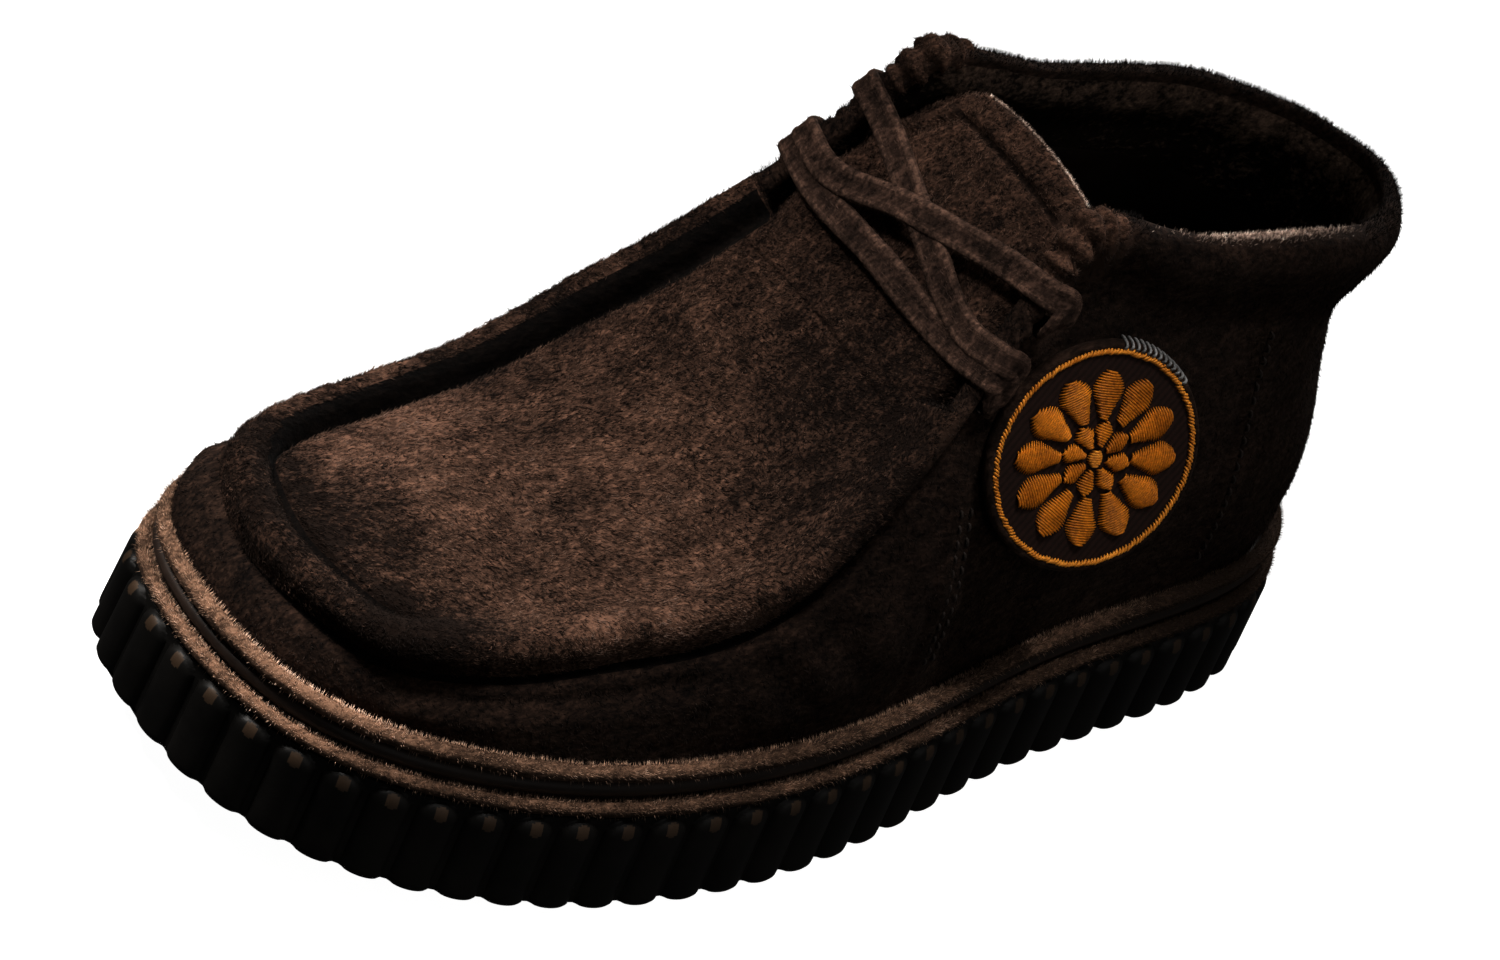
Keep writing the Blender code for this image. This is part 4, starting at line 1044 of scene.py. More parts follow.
def build_pipings():
    travelled = EDGE.even(PIPING_COLUMNS)
    steps = range(PIPING_SIDES)
    # lower faces of each cord take the darker copy: painted shade
    shaded = [math.sin(2 * math.pi * (step + 0.5) / PIPING_SIDES) < PIPING_SHADE for step in steps]
    kinds = np.repeat(np.array(shaded, int), PIPING_COLUMNS)
    last = (PIPING_SIDES - 1) * PIPING_COLUMNS
    faces = turned(grid_faces(PIPING_SIDES, PIPING_COLUMNS, True))
    for column in range(PIPING_COLUMNS):
        following = (column + 1) % PIPING_COLUMNS
        faces.append((column, following, last + following, last + column))
    for name, z, inset, radius in PIPINGS:
        middle = z + spring(EDGE.at(travelled, inset)[:, 0], SPRING_WELT)
        rings = []
        for angle in (2 * math.pi * step / PIPING_SIDES for step in steps):
            place = EDGE.at(travelled, inset - radius * math.cos(angle))
            rings.append(np.column_stack([place, middle + radius * math.sin(angle)]))
        points = np.stack(rings)
        swell = NOISE.relief(points, PIPING_RELIEF)
        points = points + unit(points - points.mean(axis=0, keepdims=True)) * swell[..., None]
        points = points.reshape(-1, 3)
        add_piece(name, points, faces, [PIPING, PIPING_SHADED_SIDE], name, [name], kinds)
        add_nap(name + "_nap", points, faces, name, piping_flow, piping_weight)


def tread_grooves():
    for first, last, number in TREAD:
        for x in np.linspace(first, last, number):
            corners = []
            for side_x in (x - 0.5 * GROOVE_WIDTH, x + 0.5 * GROOVE_WIDTH):
                low, high = EDGE.width_at(side_x)
                floor = float(spring(side_x, SPRING_FLOOR))
                for y in (low + GROOVE_MARGIN, high - GROOVE_MARGIN):
                    corners += [(side_x, y, floor - GROOVE_CUT), (side_x, y, floor + GROOVE_DEPTH)]
            yield np.array(corners), BOX_SIDES


def build_outsole():
    count = RIB_COUNT * RIB_COLUMNS
    share = np.tile(np.arange(RIB_COLUMNS) / RIB_COLUMNS, RIB_COUNT)
    travelled = np.arange(count) * EDGE.length / count
    across = ((2.0 * share - 1.0) / RIB_SHARE) ** 2
    rows = []
    for z, closing, inset in OUTSOLE_SIDE:
        rib = np.sqrt(np.clip(1.0 - across - closing ** 2, 0.0, 1.0))
        depth = inset + SOLE_TAPER * z / OUTSOLE_TOP + RIB_DEPTH * (1.0 - rib)
        place = EDGE.at(travelled, depth)
        rows.append(np.column_stack([place, z + sole_lift(place[:, 0], z)]))
    faces = sole_faces(len(rows), travelled)
    # round dots at the top of each rib take the browner rubber: painted highlight
    kinds = np.zeros(len(faces), int)
    from_middle = (share + 0.5 / RIB_COLUMNS - 0.5) * EDGE.length / RIB_COUNT
    for level in range(len(rows) - 1):
        from_dot = 0.5 * (OUTSOLE_SIDE[level][0] + OUTSOLE_SIDE[level + 1][0]) - DOT_HEIGHT
        kinds[level * count:(level + 1) * count] = from_middle ** 2 + from_dot ** 2 < DOT_RADIUS ** 2
    outsole = add_piece("outsole", np.vstack(rows), faces, [OUTSOLE, RIB_DOME_HIGHLIGHT], "outsole", ["outsole"], kinds)
    cut_away(outsole, *join(list(tread_grooves())))
    outsole.data.set_sharp_from_angle(angle=math.radians(OUTSOLE_SHARP))


# upper: outer face, lining and rim from one set of columns

ON_APRON, ON_LINING, ON_WALL, ON_BAND, ON_GROOVE_SHADE = range(5)
SHARES = np.concatenate([np.linspace(*span, endpoint=False) for span in COLUMN_SPANS])
TURNS = np.concatenate([SHARES, [1.0], 2.0 - SHARES[:0:-1]])
TIP = len(SHARES)
COLUMNS = len(TURNS)
THROAT = COLUMN_SPANS[0][2] + COLUMN_SPANS[1][2]
SEAM = np.arange(THROAT, COLUMNS - THROAT + 1)


def seam_x(seam, z):
    """Where an upright seam runs at a height."""
    return seam[0] + (seam[1] - seam[0]) / SEAM_HEIGHTS[1] * (z - SEAM_HEIGHTS[0])


def line_distance(points, line):
    """Distance of each point from a line through a few places."""
    nearest = np.full(points.shape[:-1], np.inf)
    for start, end in zip(line, line[1:]):
        step = end - start
        share = np.clip(np.sum((points - start) * step, axis=-1) / np.dot(step, step), 0.0, 1.0)
        nearest = np.minimum(nearest, np.linalg.norm(points - start - share[..., None] * step, axis=-1))
    return nearest


def wall_detail(points, turns):
    """Height of the soft folds, panel steps and hand-made unevenness on the outer face."""
    height = NOISE.relief(points, SUEDE_RELIEF)
    x, z = points[..., 0], points[..., 2]
    for side, crease_x, crease_z, slant, width, depth, reach in CREASES:
        along = np.cos(slant) * (x - crease_x) + np.sin(slant) * (z - crease_z)
        across = np.cos(slant) * (z - crease_z) - np.sin(slant) * (x - crease_x)
        across = across + 0.9 * NOISE(points, 13.0)
        fade = np.exp(-(along / reach) ** 4) * (np.sign(points[..., 1] + 4.0) == side)
        height = height - depth * fade * bell(across, width)
        height = height + 0.6 * depth * fade * bell(np.abs(across), 0.8 * width, 1.7 * width)
    for mirror in (1.0, -1.0):
        line = TOE_CREASE * np.array((1.0, mirror, 1.0)) + np.array((0.0, 2.0 * (mirror - 1.0), 0.0))
        gap = line_distance(points, line)
        height = height - 1.35 * bell(gap, 1.9) + 0.55 * bell(gap, 2.2, 4.4)
    toe_turn, toe_wide, toe_z, toe_tall, toe_depth = FAR_TOE
    from_toe, up = (turns - toe_turn) / toe_wide, (z - toe_z) / toe_tall
    height = height + toe_depth * np.exp(-from_toe ** 2 - up ** 2)
    vamp, heel = (x - seam_x(seam, z) for seam in SEAMS)
    low = 1.0 - smoothstep(*VAMP_SEAM_END, z)
    height = height + 0.75 * low * smoothstep(1.1, -1.1, vamp) * np.exp(-np.clip(-vamp, 0, None) / 16.0)
    height = height - 0.35 * low * bell(vamp, 1.3, 1.6)
    return height + 0.75 * smoothstep(1.1, -1.1, heel) * (1.0 - smoothstep(*HEEL_SEAM_END, z))


def gathered(detail, points, turns, table):
    """Add the gathers along the seam, at the edges of the throat and at the collar's front corners."""
    known = table >= 0
    level = np.zeros(len(points))
    travel = np.zeros(len(points))
    near = bell(np.arange(EDGE_ROW + 1) - CREST_ROW + 2.5, 4.5)
    run = run_along(UPPER.table(TURNS)[:, :3])
    level[table[known]] = np.broadcast_to(near, table.shape)[known]
    travel[table[known]] = np.broadcast_to(run[:, None], table.shape)[known]
    share = np.minimum(turns, 2.0 - turns)
    wobble = travel + 2.4 * NOISE(points, 11.0)
    gather = np.sin(2 * np.pi * wobble / 6.4) * (0.55 + 0.45 * NOISE(points, 17.0))
    detail = detail + 0.26 * level * smoothstep(*SEAM_TURNS, share) * gather
    edge_roll = smoothstep(*EDGE_ROLL_START, share) * (1.0 - smoothstep(*EDGE_ROLL_END, share))
    ruffle = np.sin(2 * np.pi * travel / CORNER_FOLD + 2.2 * NOISE(points, 7.0))
    detail = detail + level * edge_roll * (0.7 + 0.65 * ruffle)
    for corner in CORNERS:
        lump = bell(np.linalg.norm(points - np.array(corner), axis=1), 7.0)
        detail = detail + lump * (1.3 + 1.0 * ruffle + 0.7 * NOISE(points, 3.6))
    return detail


def apron_flow(spots):
    """Nap of the apron, brushed across and a little back, in soft swirls."""
    return np.array((-0.55, 0.70, 0.25)) + 0.9 * NOISE.swirl(spots, 16.0, 50.0)


def number_grid(plain_rows, seam_rows):
    """Point numbers by column and row, with more rows in the seam's columns; -1 where there is no point."""
    table = np.full((COLUMNS, seam_rows), -1)
    start = 0
    for column in range(COLUMNS):
        rows = seam_rows if THROAT <= column <= COLUMNS - THROAT else plain_rows
        table[column, :rows] = start + np.arange(rows)
        start += rows
    return table, start


def grid_quads(table):
    """Column, row and corners of each quad whose four points exist."""
    for column in range(COLUMNS):
        here, after = table[column].tolist(), table[(column + 1) % COLUMNS].tolist()
        for level in range(len(here) - 1):
            quad = (here[level], here[level + 1], after[level + 1], after[level])
            if min(quad) >= 0:
                yield column, level, quad


def apron_ribs(points, table, shares):
    """Lines of points across the apron, which are added to the points, and the faces between them."""
    ribs = {}
    for column in range(THROAT, TIP):
        left, right = int(table[column, -1]), int(table[COLUMNS - column, -1])
        line = points[left][None] + shares[:, None] * (points[right] - points[left])[None]
        ribs[column] = [left, *range(len(points), len(points) + len(shares)), right]
        points += list(UPPER.apron(line[:, :2]))
    faces = []
    steps = range(len(shares) + 1)
    for column in range(THROAT, TIP - 1):
        here, after = ribs[column], ribs[column + 1]
        faces += [(here[step], here[step + 1], after[step + 1], after[step]) for step in steps]
    here, tip = ribs[TIP - 1], int(table[TIP, -1])
    faces += [(here[step], here[step + 1], tip) for step in steps]
    return ribs, faces


def skin_normals(skin):
    """Outward normals of the middle skin, measured on its wall and apron together."""
    table, count = number_grid(WALL_ROWS, SKIN_ROWS - 1)
    known = table >= 0
    points = list(skin[:, :-1][known])
    faces = [quad for column, level, quad in grid_quads(table)]
    faces += apron_ribs(points, table, SKIN_ACROSS)[1]
    normals = np.zeros_like(skin)
    normals[:, :-1][known] = vertex_normals(np.array(points), faces)[:count]
    normals[:, 0, 2] = 0.0
    normals[:, 0] = unit(normals[:, 0])
    normals[SEAM, -1] = normals[SEAM, -2]
    outward = np.sum(normals[:, 3, :2] * UPPER.foot(TURNS)[1]) > 0
    return normals if outward else -normals


def upper_rows():
    """Fine rows of the outer face and of the lining in each column, before relief."""
    row = UPPER.table(TURNS)
    roll, ridge, pad = (row[:, [column]] for column in (ROLL, RIDGE, PAD))
    height = UPPER.height(TURNS)[:, None]
    top_share = 1.0 - roll / height
    shares = np.hstack([WALL_SHARES[None] * top_share, 1.0 - (1.0 - top_share) * OUTER_REACH[None]])
    far_roll = smoothstep(*FAR_ROLL_START, TURNS) * (1.0 - smoothstep(*FAR_ROLL_END, TURNS))
    slim = (1.0 - FAR_ROLL_SLIM * far_roll)[:, None]
    place = row[:, None, :2] + UPPER.inward(TURNS)[:, None] * (INNER_REACH[None] * roll * slim)[..., None]
    skin = np.zeros((COLUMNS, SKIN_ROWS, 3))
    skin[:, :WALL_ROWS] = UPPER.wall(TURNS, shares)
    skin[SEAM, WALL_ROWS:] = UPPER.apron(place[SEAM])
    near = (1.0 - smoothstep(*NEAR_TURNS, TURNS[SEAM]))[:, None]
    offset = np.zeros((COLUMNS, SKIN_ROWS))
    offset[:, len(WALL_SHARES):WALL_ROWS] = OUTER_RIDGE[None] * ridge + OUTER_PAD[None] * pad
    offset[SEAM, WALL_ROWS:] = (INNER_RIDGE + (NEAR_INNER_RIDGE - INNER_RIDGE) * near) * ridge[SEAM]
    normal = skin_normals(skin)
    outer = skin + normal * offset[..., None]
    padded = np.zeros_like(offset)
    padded[:, :WALL_ROWS] = np.clip(pad, 0.0, 2.0) / 2.0 * bell((1.0 - shares) * height, *COLLAR_PAD_PLACE)
    inner = skin - normal * (WALL + COLLAR_PAD * padded + np.clip(-offset, 0.0, None))[..., None]
    plain = np.setdiff1d(np.arange(COLUMNS), SEAM)
    rise = unit(skin[plain, CREST] - skin[plain, CREST - 1])
    middle = 0.5 * (outer[plain, CREST] + inner[plain, CREST])
    half = 0.5 * (outer[plain, CREST] - inner[plain, CREST])
    size = np.linalg.norm(half, axis=1, keepdims=True)
    for step, degrees in enumerate(COLLAR_ANGLES):
        angle = math.radians(degrees)
        around = middle + half * math.cos(angle) + rise * size * RIM_TALL * math.sin(angle)
        outer[plain, WALL_ROWS + step] = around
        inner[plain, WALL_ROWS + step] = inner[plain, CREST] + rise * (step + 1)
    return smooth_rows(outer, ROW_STEPS), smooth_rows(inner, ROW_STEPS)


def panel_rows(column):
    """Row where the wall's suede ends in a column, and the rows of its crevices painted with shade."""
    from_throat = min(column - THROAT, COLUMNS - THROAT - 1 - column)
    wall_top = CREST_ROW - round(WALL_TOP_DROP * float(smoothstep(0, WALL_TOP_COLUMNS, from_throat)))
    rows_open = TOE_GROOVE_ROWS * smoothstep(*TOE_GROOVE, TURNS[column])
    rows_open = rows_open + FAR_GROOVE_ROWS * smoothstep(*FAR_GROOVE, TURNS[column])
    groove = range(GROOVE_END_ROW - round(float(rows_open)), GROOVE_END_ROW)
    crevice = range(*CREVICE_ROWS) if from_throat >= 0 else ()
    return wall_top, {*groove, *crevice}


def rim_rows(top, low, rear):
    """Rounded rows between outer face and lining around the opening; the collar's columns come first."""
    pull = np.tile(np.array(THROAT_PULL), (len(top), 1))
    pull[:len(rear)] = rear[:, CREST_ROW] - rear[:, CREST_ROW - 2]
    pull = unit(pull)
    tall = np.full(len(top), THROAT_TALL)
    tall[:len(rear)] = RIM_TALL
    middle = 0.5 * (top + low)
    half = 0.5 * (top - low)
    size = np.linalg.norm(half, axis=1)
    rows = []
    for step in range(1, RIM_ROWS + 1):
        angle = math.pi * step / (RIM_ROWS + 1)
        lift = pull * (size * tall * math.sin(angle))[:, None]
        rows.append(middle + half * math.cos(angle) + lift)
    rows = np.stack(rows)
    return rows + 0.12 * NOISE(rows, 5.0)[..., None] * pull[None]


def rim_weight(spots, normals):
    # pale fibres only where the near rim's top faces up: a painted highlight
    along = bell(spots[:, 0], PALE_RIM_MIDDLE[1], PALE_RIM_MIDDLE[0])
    return along * np.clip(normals @ RIM_FACING, 0.0, 1.0) ** 12


def lace_holes():
    for share, drop, edge_share in HOLES:
        for turn in (share, 2.0 - share):
            point, normal = UPPER.below(turn, drop)
            line = np.stack([point - HOLE_CUT * normal, point + HOLE_CUT * normal])
            facing = np.tile(unit(np.cross(normal, (1, 0, 0))), (2, 1))
            yield tube(line, [HOLE_RADIUS, HOLE_RADIUS], facing, sides=HOLE_SIDES)


def build_upper():
    outer_rows, inner_rows = upper_rows()
    table, grid_count = number_grid(CREST_ROW + 1, EDGE_ROW + 1)
    known = table >= 0
    points = list(outer_rows[:, :EDGE_ROW + 1][known])
    limits = [panel_rows(column) for column in range(COLUMNS)]
    faces = []
    panels = []
    for column, level, quad in grid_quads(table):
        wall_top, crevices = limits[column]
        faces.append(quad)
        # groove and crevice rows take the near-black suede as painted shade, without nap
        panels.append(ON_GROOVE_SHADE if level in crevices else ON_WALL if level < wall_top else ON_APRON)
    ribs, apron_faces = apron_ribs(points, table, np.linspace(0.0, 1.0, APRON_ACROSS + 1)[1:-1])
    faces += apron_faces
    panels += [ON_APRON] * len(apron_faces)
    outer = np.array(points)
    inner = np.vstack([inner_rows[:, :EDGE_ROW + 1][known], outer[grid_count:] - np.array((0.0, 0.0, WALL))])
    turns = np.broadcast_to(TURNS[:, None], table.shape)[known]
    turns = np.concatenate([turns, np.repeat(TURNS[THROAT:TIP], APRON_ACROSS - 1)])
    normals = vertex_normals(outer, faces)
    if np.sum(normals[table[:, 2 * ROW_STEPS]][:, :2] * UPPER.foot(TURNS)[1]) < 0:
        normals = -normals
        faces = turned(faces)
    detail = gathered(wall_detail(outer, turns), outer, turns, table)
    fade = np.ones(len(outer))
    fade[table[:, :len(FOOT_FADE)].ravel()] = np.tile(FOOT_FADE, COLUMNS)
    outer = outer + normals * (detail * fade)[:, None]

    # lining, then the rim over collar, throat edges and apron's end, then the lasting edge below
    count = len(outer)
    band = set(table[:, CREST_ROW - BAND_ROWS:CREST_ROW - DARK_ROWS].ravel().tolist())
    dark_band = set(table[:, CREST_ROW - DARK_ROWS:CREST_ROW + 1].ravel().tolist())
    solid = faces + under_faces(faces, count)
    kinds = list(panels)
    for lowest in map(min, faces):
        kinds.append(ON_BAND if lowest in band else ON_WALL if lowest in dark_band else ON_LINING)
    rear_columns = [*range(THROAT, -1, -1), *range(COLUMNS - 1, COLUMNS - THROAT - 1, -1)]
    rear = table[rear_columns, CREST_ROW].tolist()
    far_edge = table[COLUMNS - THROAT, CREST_ROW + 1:EDGE_ROW].tolist()
    near_edge = table[THROAT, EDGE_ROW - 1:CREST_ROW:-1].tolist()
    opening = rear + far_edge + ribs[THROAT][::-1] + near_edge
    around = len(opening)
    rim = rim_rows(outer[opening], inner[opening], outer_rows[rear_columns])
    starts = range(2 * count, 2 * count + RIM_ROWS * around, around)
    rings = [list(range(start, start + around)) for start in starts]
    rings = [opening, *rings, [count + value for value in opening]]
    for ring, lower in zip(rings, rings[1:]):
        for place in range(around):
            following = (place + 1) % around
            solid.append((ring[place], ring[following], lower[following], lower[place]))
            kinds.append(ON_WALL if place < len(rear) else ON_APRON)
    solid += joining_faces(table[:, 0].tolist(), count)
    kinds += [ON_LINING] * COLUMNS
    points = np.vstack([outer, inner, rim.reshape(-1, 3)])
    materials = [SUEDE, LINING, WALL_SUEDE_AND_SHADE, BAND, PAINTED_GROOVE_SHADE]
    upper = add_piece("upper", points, solid, materials, "upper", ["upper"], kinds)

    # nap, with pale fibres on the near rim of the collar as a painted highlight and darker fibres elsewhere
    # on the rim as painted shade
    rim_faces = solid[2 * len(faces):2 * len(faces) + RIM_ROWS * around]
    middle_x, middle_y = points[np.array(rim_faces)].mean(axis=1)[:, :2].T
    pale = (middle_y > PALE_RIM_Y) & (middle_x > PALE_RIM_X[0]) & (middle_x < PALE_RIM_X[1])
    pale_faces = [face for face, chosen in zip(rim_faces, pale) if chosen]
    dark_faces = [face for face, chosen in zip(rim_faces, pale) if not chosen]
    top_faces = [face for face, panel in zip(faces, panels) if panel == ON_APRON]
    wall_faces = [face for face, panel in zip(faces, panels) if panel == ON_WALL]
    add_nap("apron_nap", outer, top_faces, "upper", apron_flow)
    add_nap("wall_nap_and_shade", outer, wall_faces, "upper", (-0.5, 0.0, -0.85))
    add_nap("collar_highlight_nap", points, pale_faces, "upper", (0.0, 0.0, 1.0), rim_weight)
    add_nap("rim_shade_nap", points, dark_faces, "upper", (0.0, 0.0, 1.0))
    cut_away(upper, *join(list(lace_holes())))


def build_corner_rolls():
    """Gathered roll of the collar's edge at both front corners, down to the upper lace."""
    parts = []
    for first, last in (CORNER_ROLL, tuple(2.0 - turn for turn in CORNER_ROLL)):
        turns = np.linspace(first, last, CORNER_STEPS)
        line = UPPER.table(turns)[:, :3]
        share = np.linspace(0.0, 1.0, len(turns))
        taper = np.sqrt(np.clip(1.0 - (2.0 * share - 1.0) ** 4, 0.03, 1.0))
        wave = np.sin(2 * np.pi * run_along(line) / CORNER_FOLD + 1.5 * NOISE(line, 6.0))
        folds = 1.0 + 0.27 * wave + 0.12 * NOISE(line, 2.5)
        outward = np.column_stack([UPPER.foot(turns)[1], np.zeros(len(turns))])
        parts.append(tube(line + 0.9 * outward, (ROLL_RADIUS * taper * folds)[:, None], outward, sides=18))
    points, faces = join(parts)
    points = points + 0.35 * NOISE.swirl(points, 3.0, 30.0)
    add_nap("corner_nap", points, faces, "upper", (0.2, 0.3, 0.9))
    add_piece("corner_rolls", points, faces, [SUEDE], "upper")


def build_tongue():
    """The apron goes on as the tongue: it laps over the apron's end and tucks under the throat edges."""
    root_x = UPPER.throat_x()
    side_z = UPPER.apron(np.array((root_x, TONGUE_CENTRE_Y + TONGUE_ROOT_HALF)))[2]
    crown = UPPER.apron(np.array((root_x, TONGUE_CENTRE_Y)))[2] - side_z
    rows = [(root_x, side_z, TONGUE_ROOT_HALF, crown), *TONGUE]
    table = soft_table(np.linspace(0.0, 1.0, len(rows)), rows)
    shares = np.concatenate([np.zeros(TONGUE_LAP_ROWS), np.linspace(0.0, 1.0, TONGUE_ROWS)])
    lapping = np.linspace(TONGUE_LAP, 0.0, TONGUE_LAP_ROWS, endpoint=False)
    lap = np.concatenate([lapping, np.zeros(TONGUE_ROWS)])
    row_count = len(shares)
    here = table(shares)
    step = table(np.minimum(1.0, shares + 0.02)) - table(np.maximum(0.0, shares - 0.02))
    climb = unit(np.column_stack([step[:, 0], np.zeros(row_count), step[:, 1]]))
    face = np.column_stack([climb[:, 2], np.zeros(row_count), -climb[:, 0]])[:, None]
    across = np.linspace(-TONGUE_TUCK, TONGUE_TUCK, TONGUE_ACROSS)
    middle = np.zeros((row_count, TONGUE_ACROSS, 3))
    middle[..., 0] = here[:, None, 0] + lap[:, None]
    middle[..., 1] = TONGUE_CENTRE_Y + across[None] * here[:, None, 2]
    middle[..., 2] = here[:, None, 1] + here[:, None, 3] * (1.0 - across[None] ** 2)
    over = lap > 0.0
    middle[over, :, 2] = UPPER.apron(middle[over][..., :2])[..., 2]
    middle[~over] += TONGUE_GAP * climb[~over][:, None]

    # sides that tuck under below and end free above
    held = 1.0 - smoothstep(*TONGUE_TUCK_END, shares)[:, None]
    past = np.clip(np.abs(across) - 1.0, 0, 1)[None]
    middle[..., 1] -= (1.0 - held) * np.sign(across)[None] * past * here[:, None, 2]
    inside = (np.abs(across)[None] - TONGUE_TUCK_START) / (TONGUE_TUCK - TONGUE_TUCK_START)
    tuck = np.clip(inside, 0.0, 1.0) ** 2
    middle -= face * (TONGUE_TUCK_DEPTH * (tuck * held))[..., None]

    # rounded edge, hem and soft relief
    length = run_along(here[:, :2])
    to_top = (length[-1] - length)[:, None]
    from_centre = np.abs(middle[..., 1] - TONGUE_CENTRE_Y)
    to_side = np.abs(from_centre[:, -1:] - from_centre)
    edge = np.minimum(to_top, np.where(shares[:, None] > HEM_FREE_SHARE, to_side, np.inf))
    flat = np.clip(np.minimum(to_top, to_side) / TONGUE_ROUND, 0, 1)
    rounding = np.sqrt(np.clip(1.0 - (1.0 - flat) ** 2, 0.02, 1.0))
    hem = HEM_HEIGHT * smoothstep(*HEM_STEP, edge) - HEM_GROOVE_DEPTH * bell(edge, *HEM_GROOVE)
    hem = hem + HEM_HEIGHT * bell(edge, *HEM_SWELL)
    half = 0.5 * TONGUE_THICK
    raised = half * rounding + (hem + NOISE.relief(middle, SUEDE_RELIEF)) * rounding + TONGUE_PROUD
    top = middle - face * half + face * raised[..., None]
    body = np.clip(1.0 - lap / TONGUE_LAP, 0.06, 1.0)[:, None]
    under = top - face * np.maximum(TONGUE_THIN, 2.0 * half * rounding * body)[..., None]
    count = row_count * TONGUE_ACROSS
    top_faces = grid_faces(row_count, TONGUE_ACROSS)
    numbers = np.arange(count).reshape(row_count, TONGUE_ACROSS)
    rim = [*numbers[0], *numbers[1:, -1], *numbers[-1, -2::-1], *numbers[-2:0:-1, 0]]
    faces = top_faces + under_faces(top_faces, count) + joining_faces([int(value) for value in rim], count)
    points = np.vstack([top.reshape(-1, 3), under.reshape(-1, 3)])
    end_faces = [quad for quad in top_faces if min(quad) >= count - 2 * TONGUE_ACROSS]
    # pale fibres along the tongue's top edge: a painted highlight
    add_nap("tongue_edge_highlight_nap", points, end_faces, "tongue", (-0.4, 0.0, 0.9))
    # the hem's groove takes the darker wall suede as painted shade and gets no nap
    depth = np.where(to_side > HEM_MARGIN, to_top, 0.0).reshape(-1)
    kinds = [int(abs(depth[list(quad)].mean() - HEM_DEPTH) < HEM_HALF) for quad in top_faces]
    napped = [quad for quad, kind in zip(top_faces, kinds) if kind == 0]
    kinds += [0] * (len(faces) - len(kinds))
    add_nap("tongue_nap", points, napped, "tongue", apron_flow)
    add_piece("tongue", points, faces, [SUEDE, WALL_SUEDE_AND_SHADE], "tongue", ["tongue"], kinds)


def lace_end(hole, side, slide, raised):
    """Places, facings and widths of the lace from inside its hole out and over the throat edge."""
    share, drop, edge_share = hole

    def mirror(value):
        return value if side == "outer" else 2.0 - value

    turn = mirror(edge_share - slide)
    row = UPPER.table(np.array([turn]))[0]
    top = row[:3]
    before, after = UPPER.table(np.array([turn - TURN_STEP, turn + TURN_STEP]))[:, :3]
    along = unit(after - before)
    rise = unit(np.cross(along, UPPER.below(turn, 2.5)[1]))
    rise = rise * np.sign(rise[2])
    normal = unit(np.cross(rise, along))
    normal = normal * np.sign(np.dot(normal[:2], UPPER.foot(np.array([turn]))[1][0]))
    hump = LACE_HUMP if side == "outer" and hole is HOLES[1] else 0.0
    clear = 0.5 * LACE_THICK + LACE_CLEAR + raised
    out = row[RIDGE] + row[PAD]
    corner = unit(normal + rise)
    point = UPPER.below(mirror(share - slide), drop)[0]
    hole_point = UPPER.below(mirror(share), drop)[0]
    return [
        (hole_point - normal * (WALL + 3.0), -rise, 0.72),
        (hole_point, -rise, 0.72),
        (hole_point + normal * (clear + 1.2) + rise * 1.4, unit(normal - 0.6 * rise), 0.85),
        (0.5 * (point + top) + normal * (0.6 * out + clear + 0.4 + hump), normal, 1.0),
        (top + normal * (out + clear + 0.6 * hump) - rise * 2.5, normal, 1.0),
        (top + normal * (out + 0.25) + corner * clear, corner, 1.0),
        (top + rise * (clear + 0.25), unit(rise + 0.5 * LACE_FACE), 1.0),
        (top - normal * (WALL + 2.0) + rise * (clear + 0.25), unit(rise + 2.0 * LACE_FACE), 1.0),
    ]


def build_lace():
    angles = 2 * np.pi * (np.arange(LACE_SIDES) + 0.5) / LACE_SIDES
    section = np.column_stack([np.sign(np.cos(angles)) * np.abs(np.cos(angles)) ** 0.55,
                               np.sign(np.sin(angles)) * np.abs(np.sin(angles)) ** 0.75])
    section[:, 1] *= 1.0 - 0.62 * bell(section[:, 0], LACE_MIDDLE_STRIPE)
    from_middle = np.abs(0.5 * (section[:, 0] + np.roll(section[:, 0], -1)))
    near_edge = (from_middle > LACE_EDGE_STRIPE[0]) & (from_middle < LACE_EDGE_STRIPE[1])
    # painted highlights on the raised edges, painted shade in the middle groove
    lit_and_shaded_bands = np.where(from_middle < LACE_MIDDLE_STRIPE, 1, np.where(near_edge, 2, 0)).tolist()
    parts = []
    lines = []
    kinds = []
    face = unit(LACE_FACE)
    for start, start_side, end, end_side, lift, slide, raised in STRANDS:
        first = lace_end(HOLES[start], start_side, slide, raised)
        last = lace_end(HOLES[end], end_side, 0.0, raised)
        middle = 0.5 * (first[-1][0] + last[-1][0]) + face * lift
        stops = first + [(middle, face, 1.0)] + last[::-1]
        places = np.array([np.concatenate([place, facing, [width]]) for place, facing, width in stops])
        fine = smooth_rows(places[None], LACE_STEPS)[0]
        line = fine[:, :3]
        wide = 0.5 * LACE_WIDTH * fine[:, 6] * (1.0 + 0.05 * NOISE(line, 7.0))
        high = np.full(len(line), 0.5 * LACE_THICK)
        parts.append(tube(line, np.column_stack([wide, high]), fine[:, 3:6], section))
        lines.append(line)
        kinds += lit_and_shaded_bands * (len(line) - 1) + [0, 0]
    points, faces = join(parts)
    headings = np.vstack([unit(np.gradient(line, axis=0)) for line in lines])
    lines = np.vstack(lines)

    def along_lace(spots):
        return headings[[np.argmin(np.sum((lines - spot) ** 2, axis=1)) for spot in spots]]

    points = points + 0.07 * NOISE.swirl(points, 2.5, 40.0)
    add_nap("lace_nap", points, faces, "lace", along_lace)
    add_piece("lace", points, faces, [LACE, LACE_GROOVE_SHADE, LACE_EDGE_HIGHLIGHT], "lace", ["lace"], kinds)


# round patch, whose upright follows the photograph

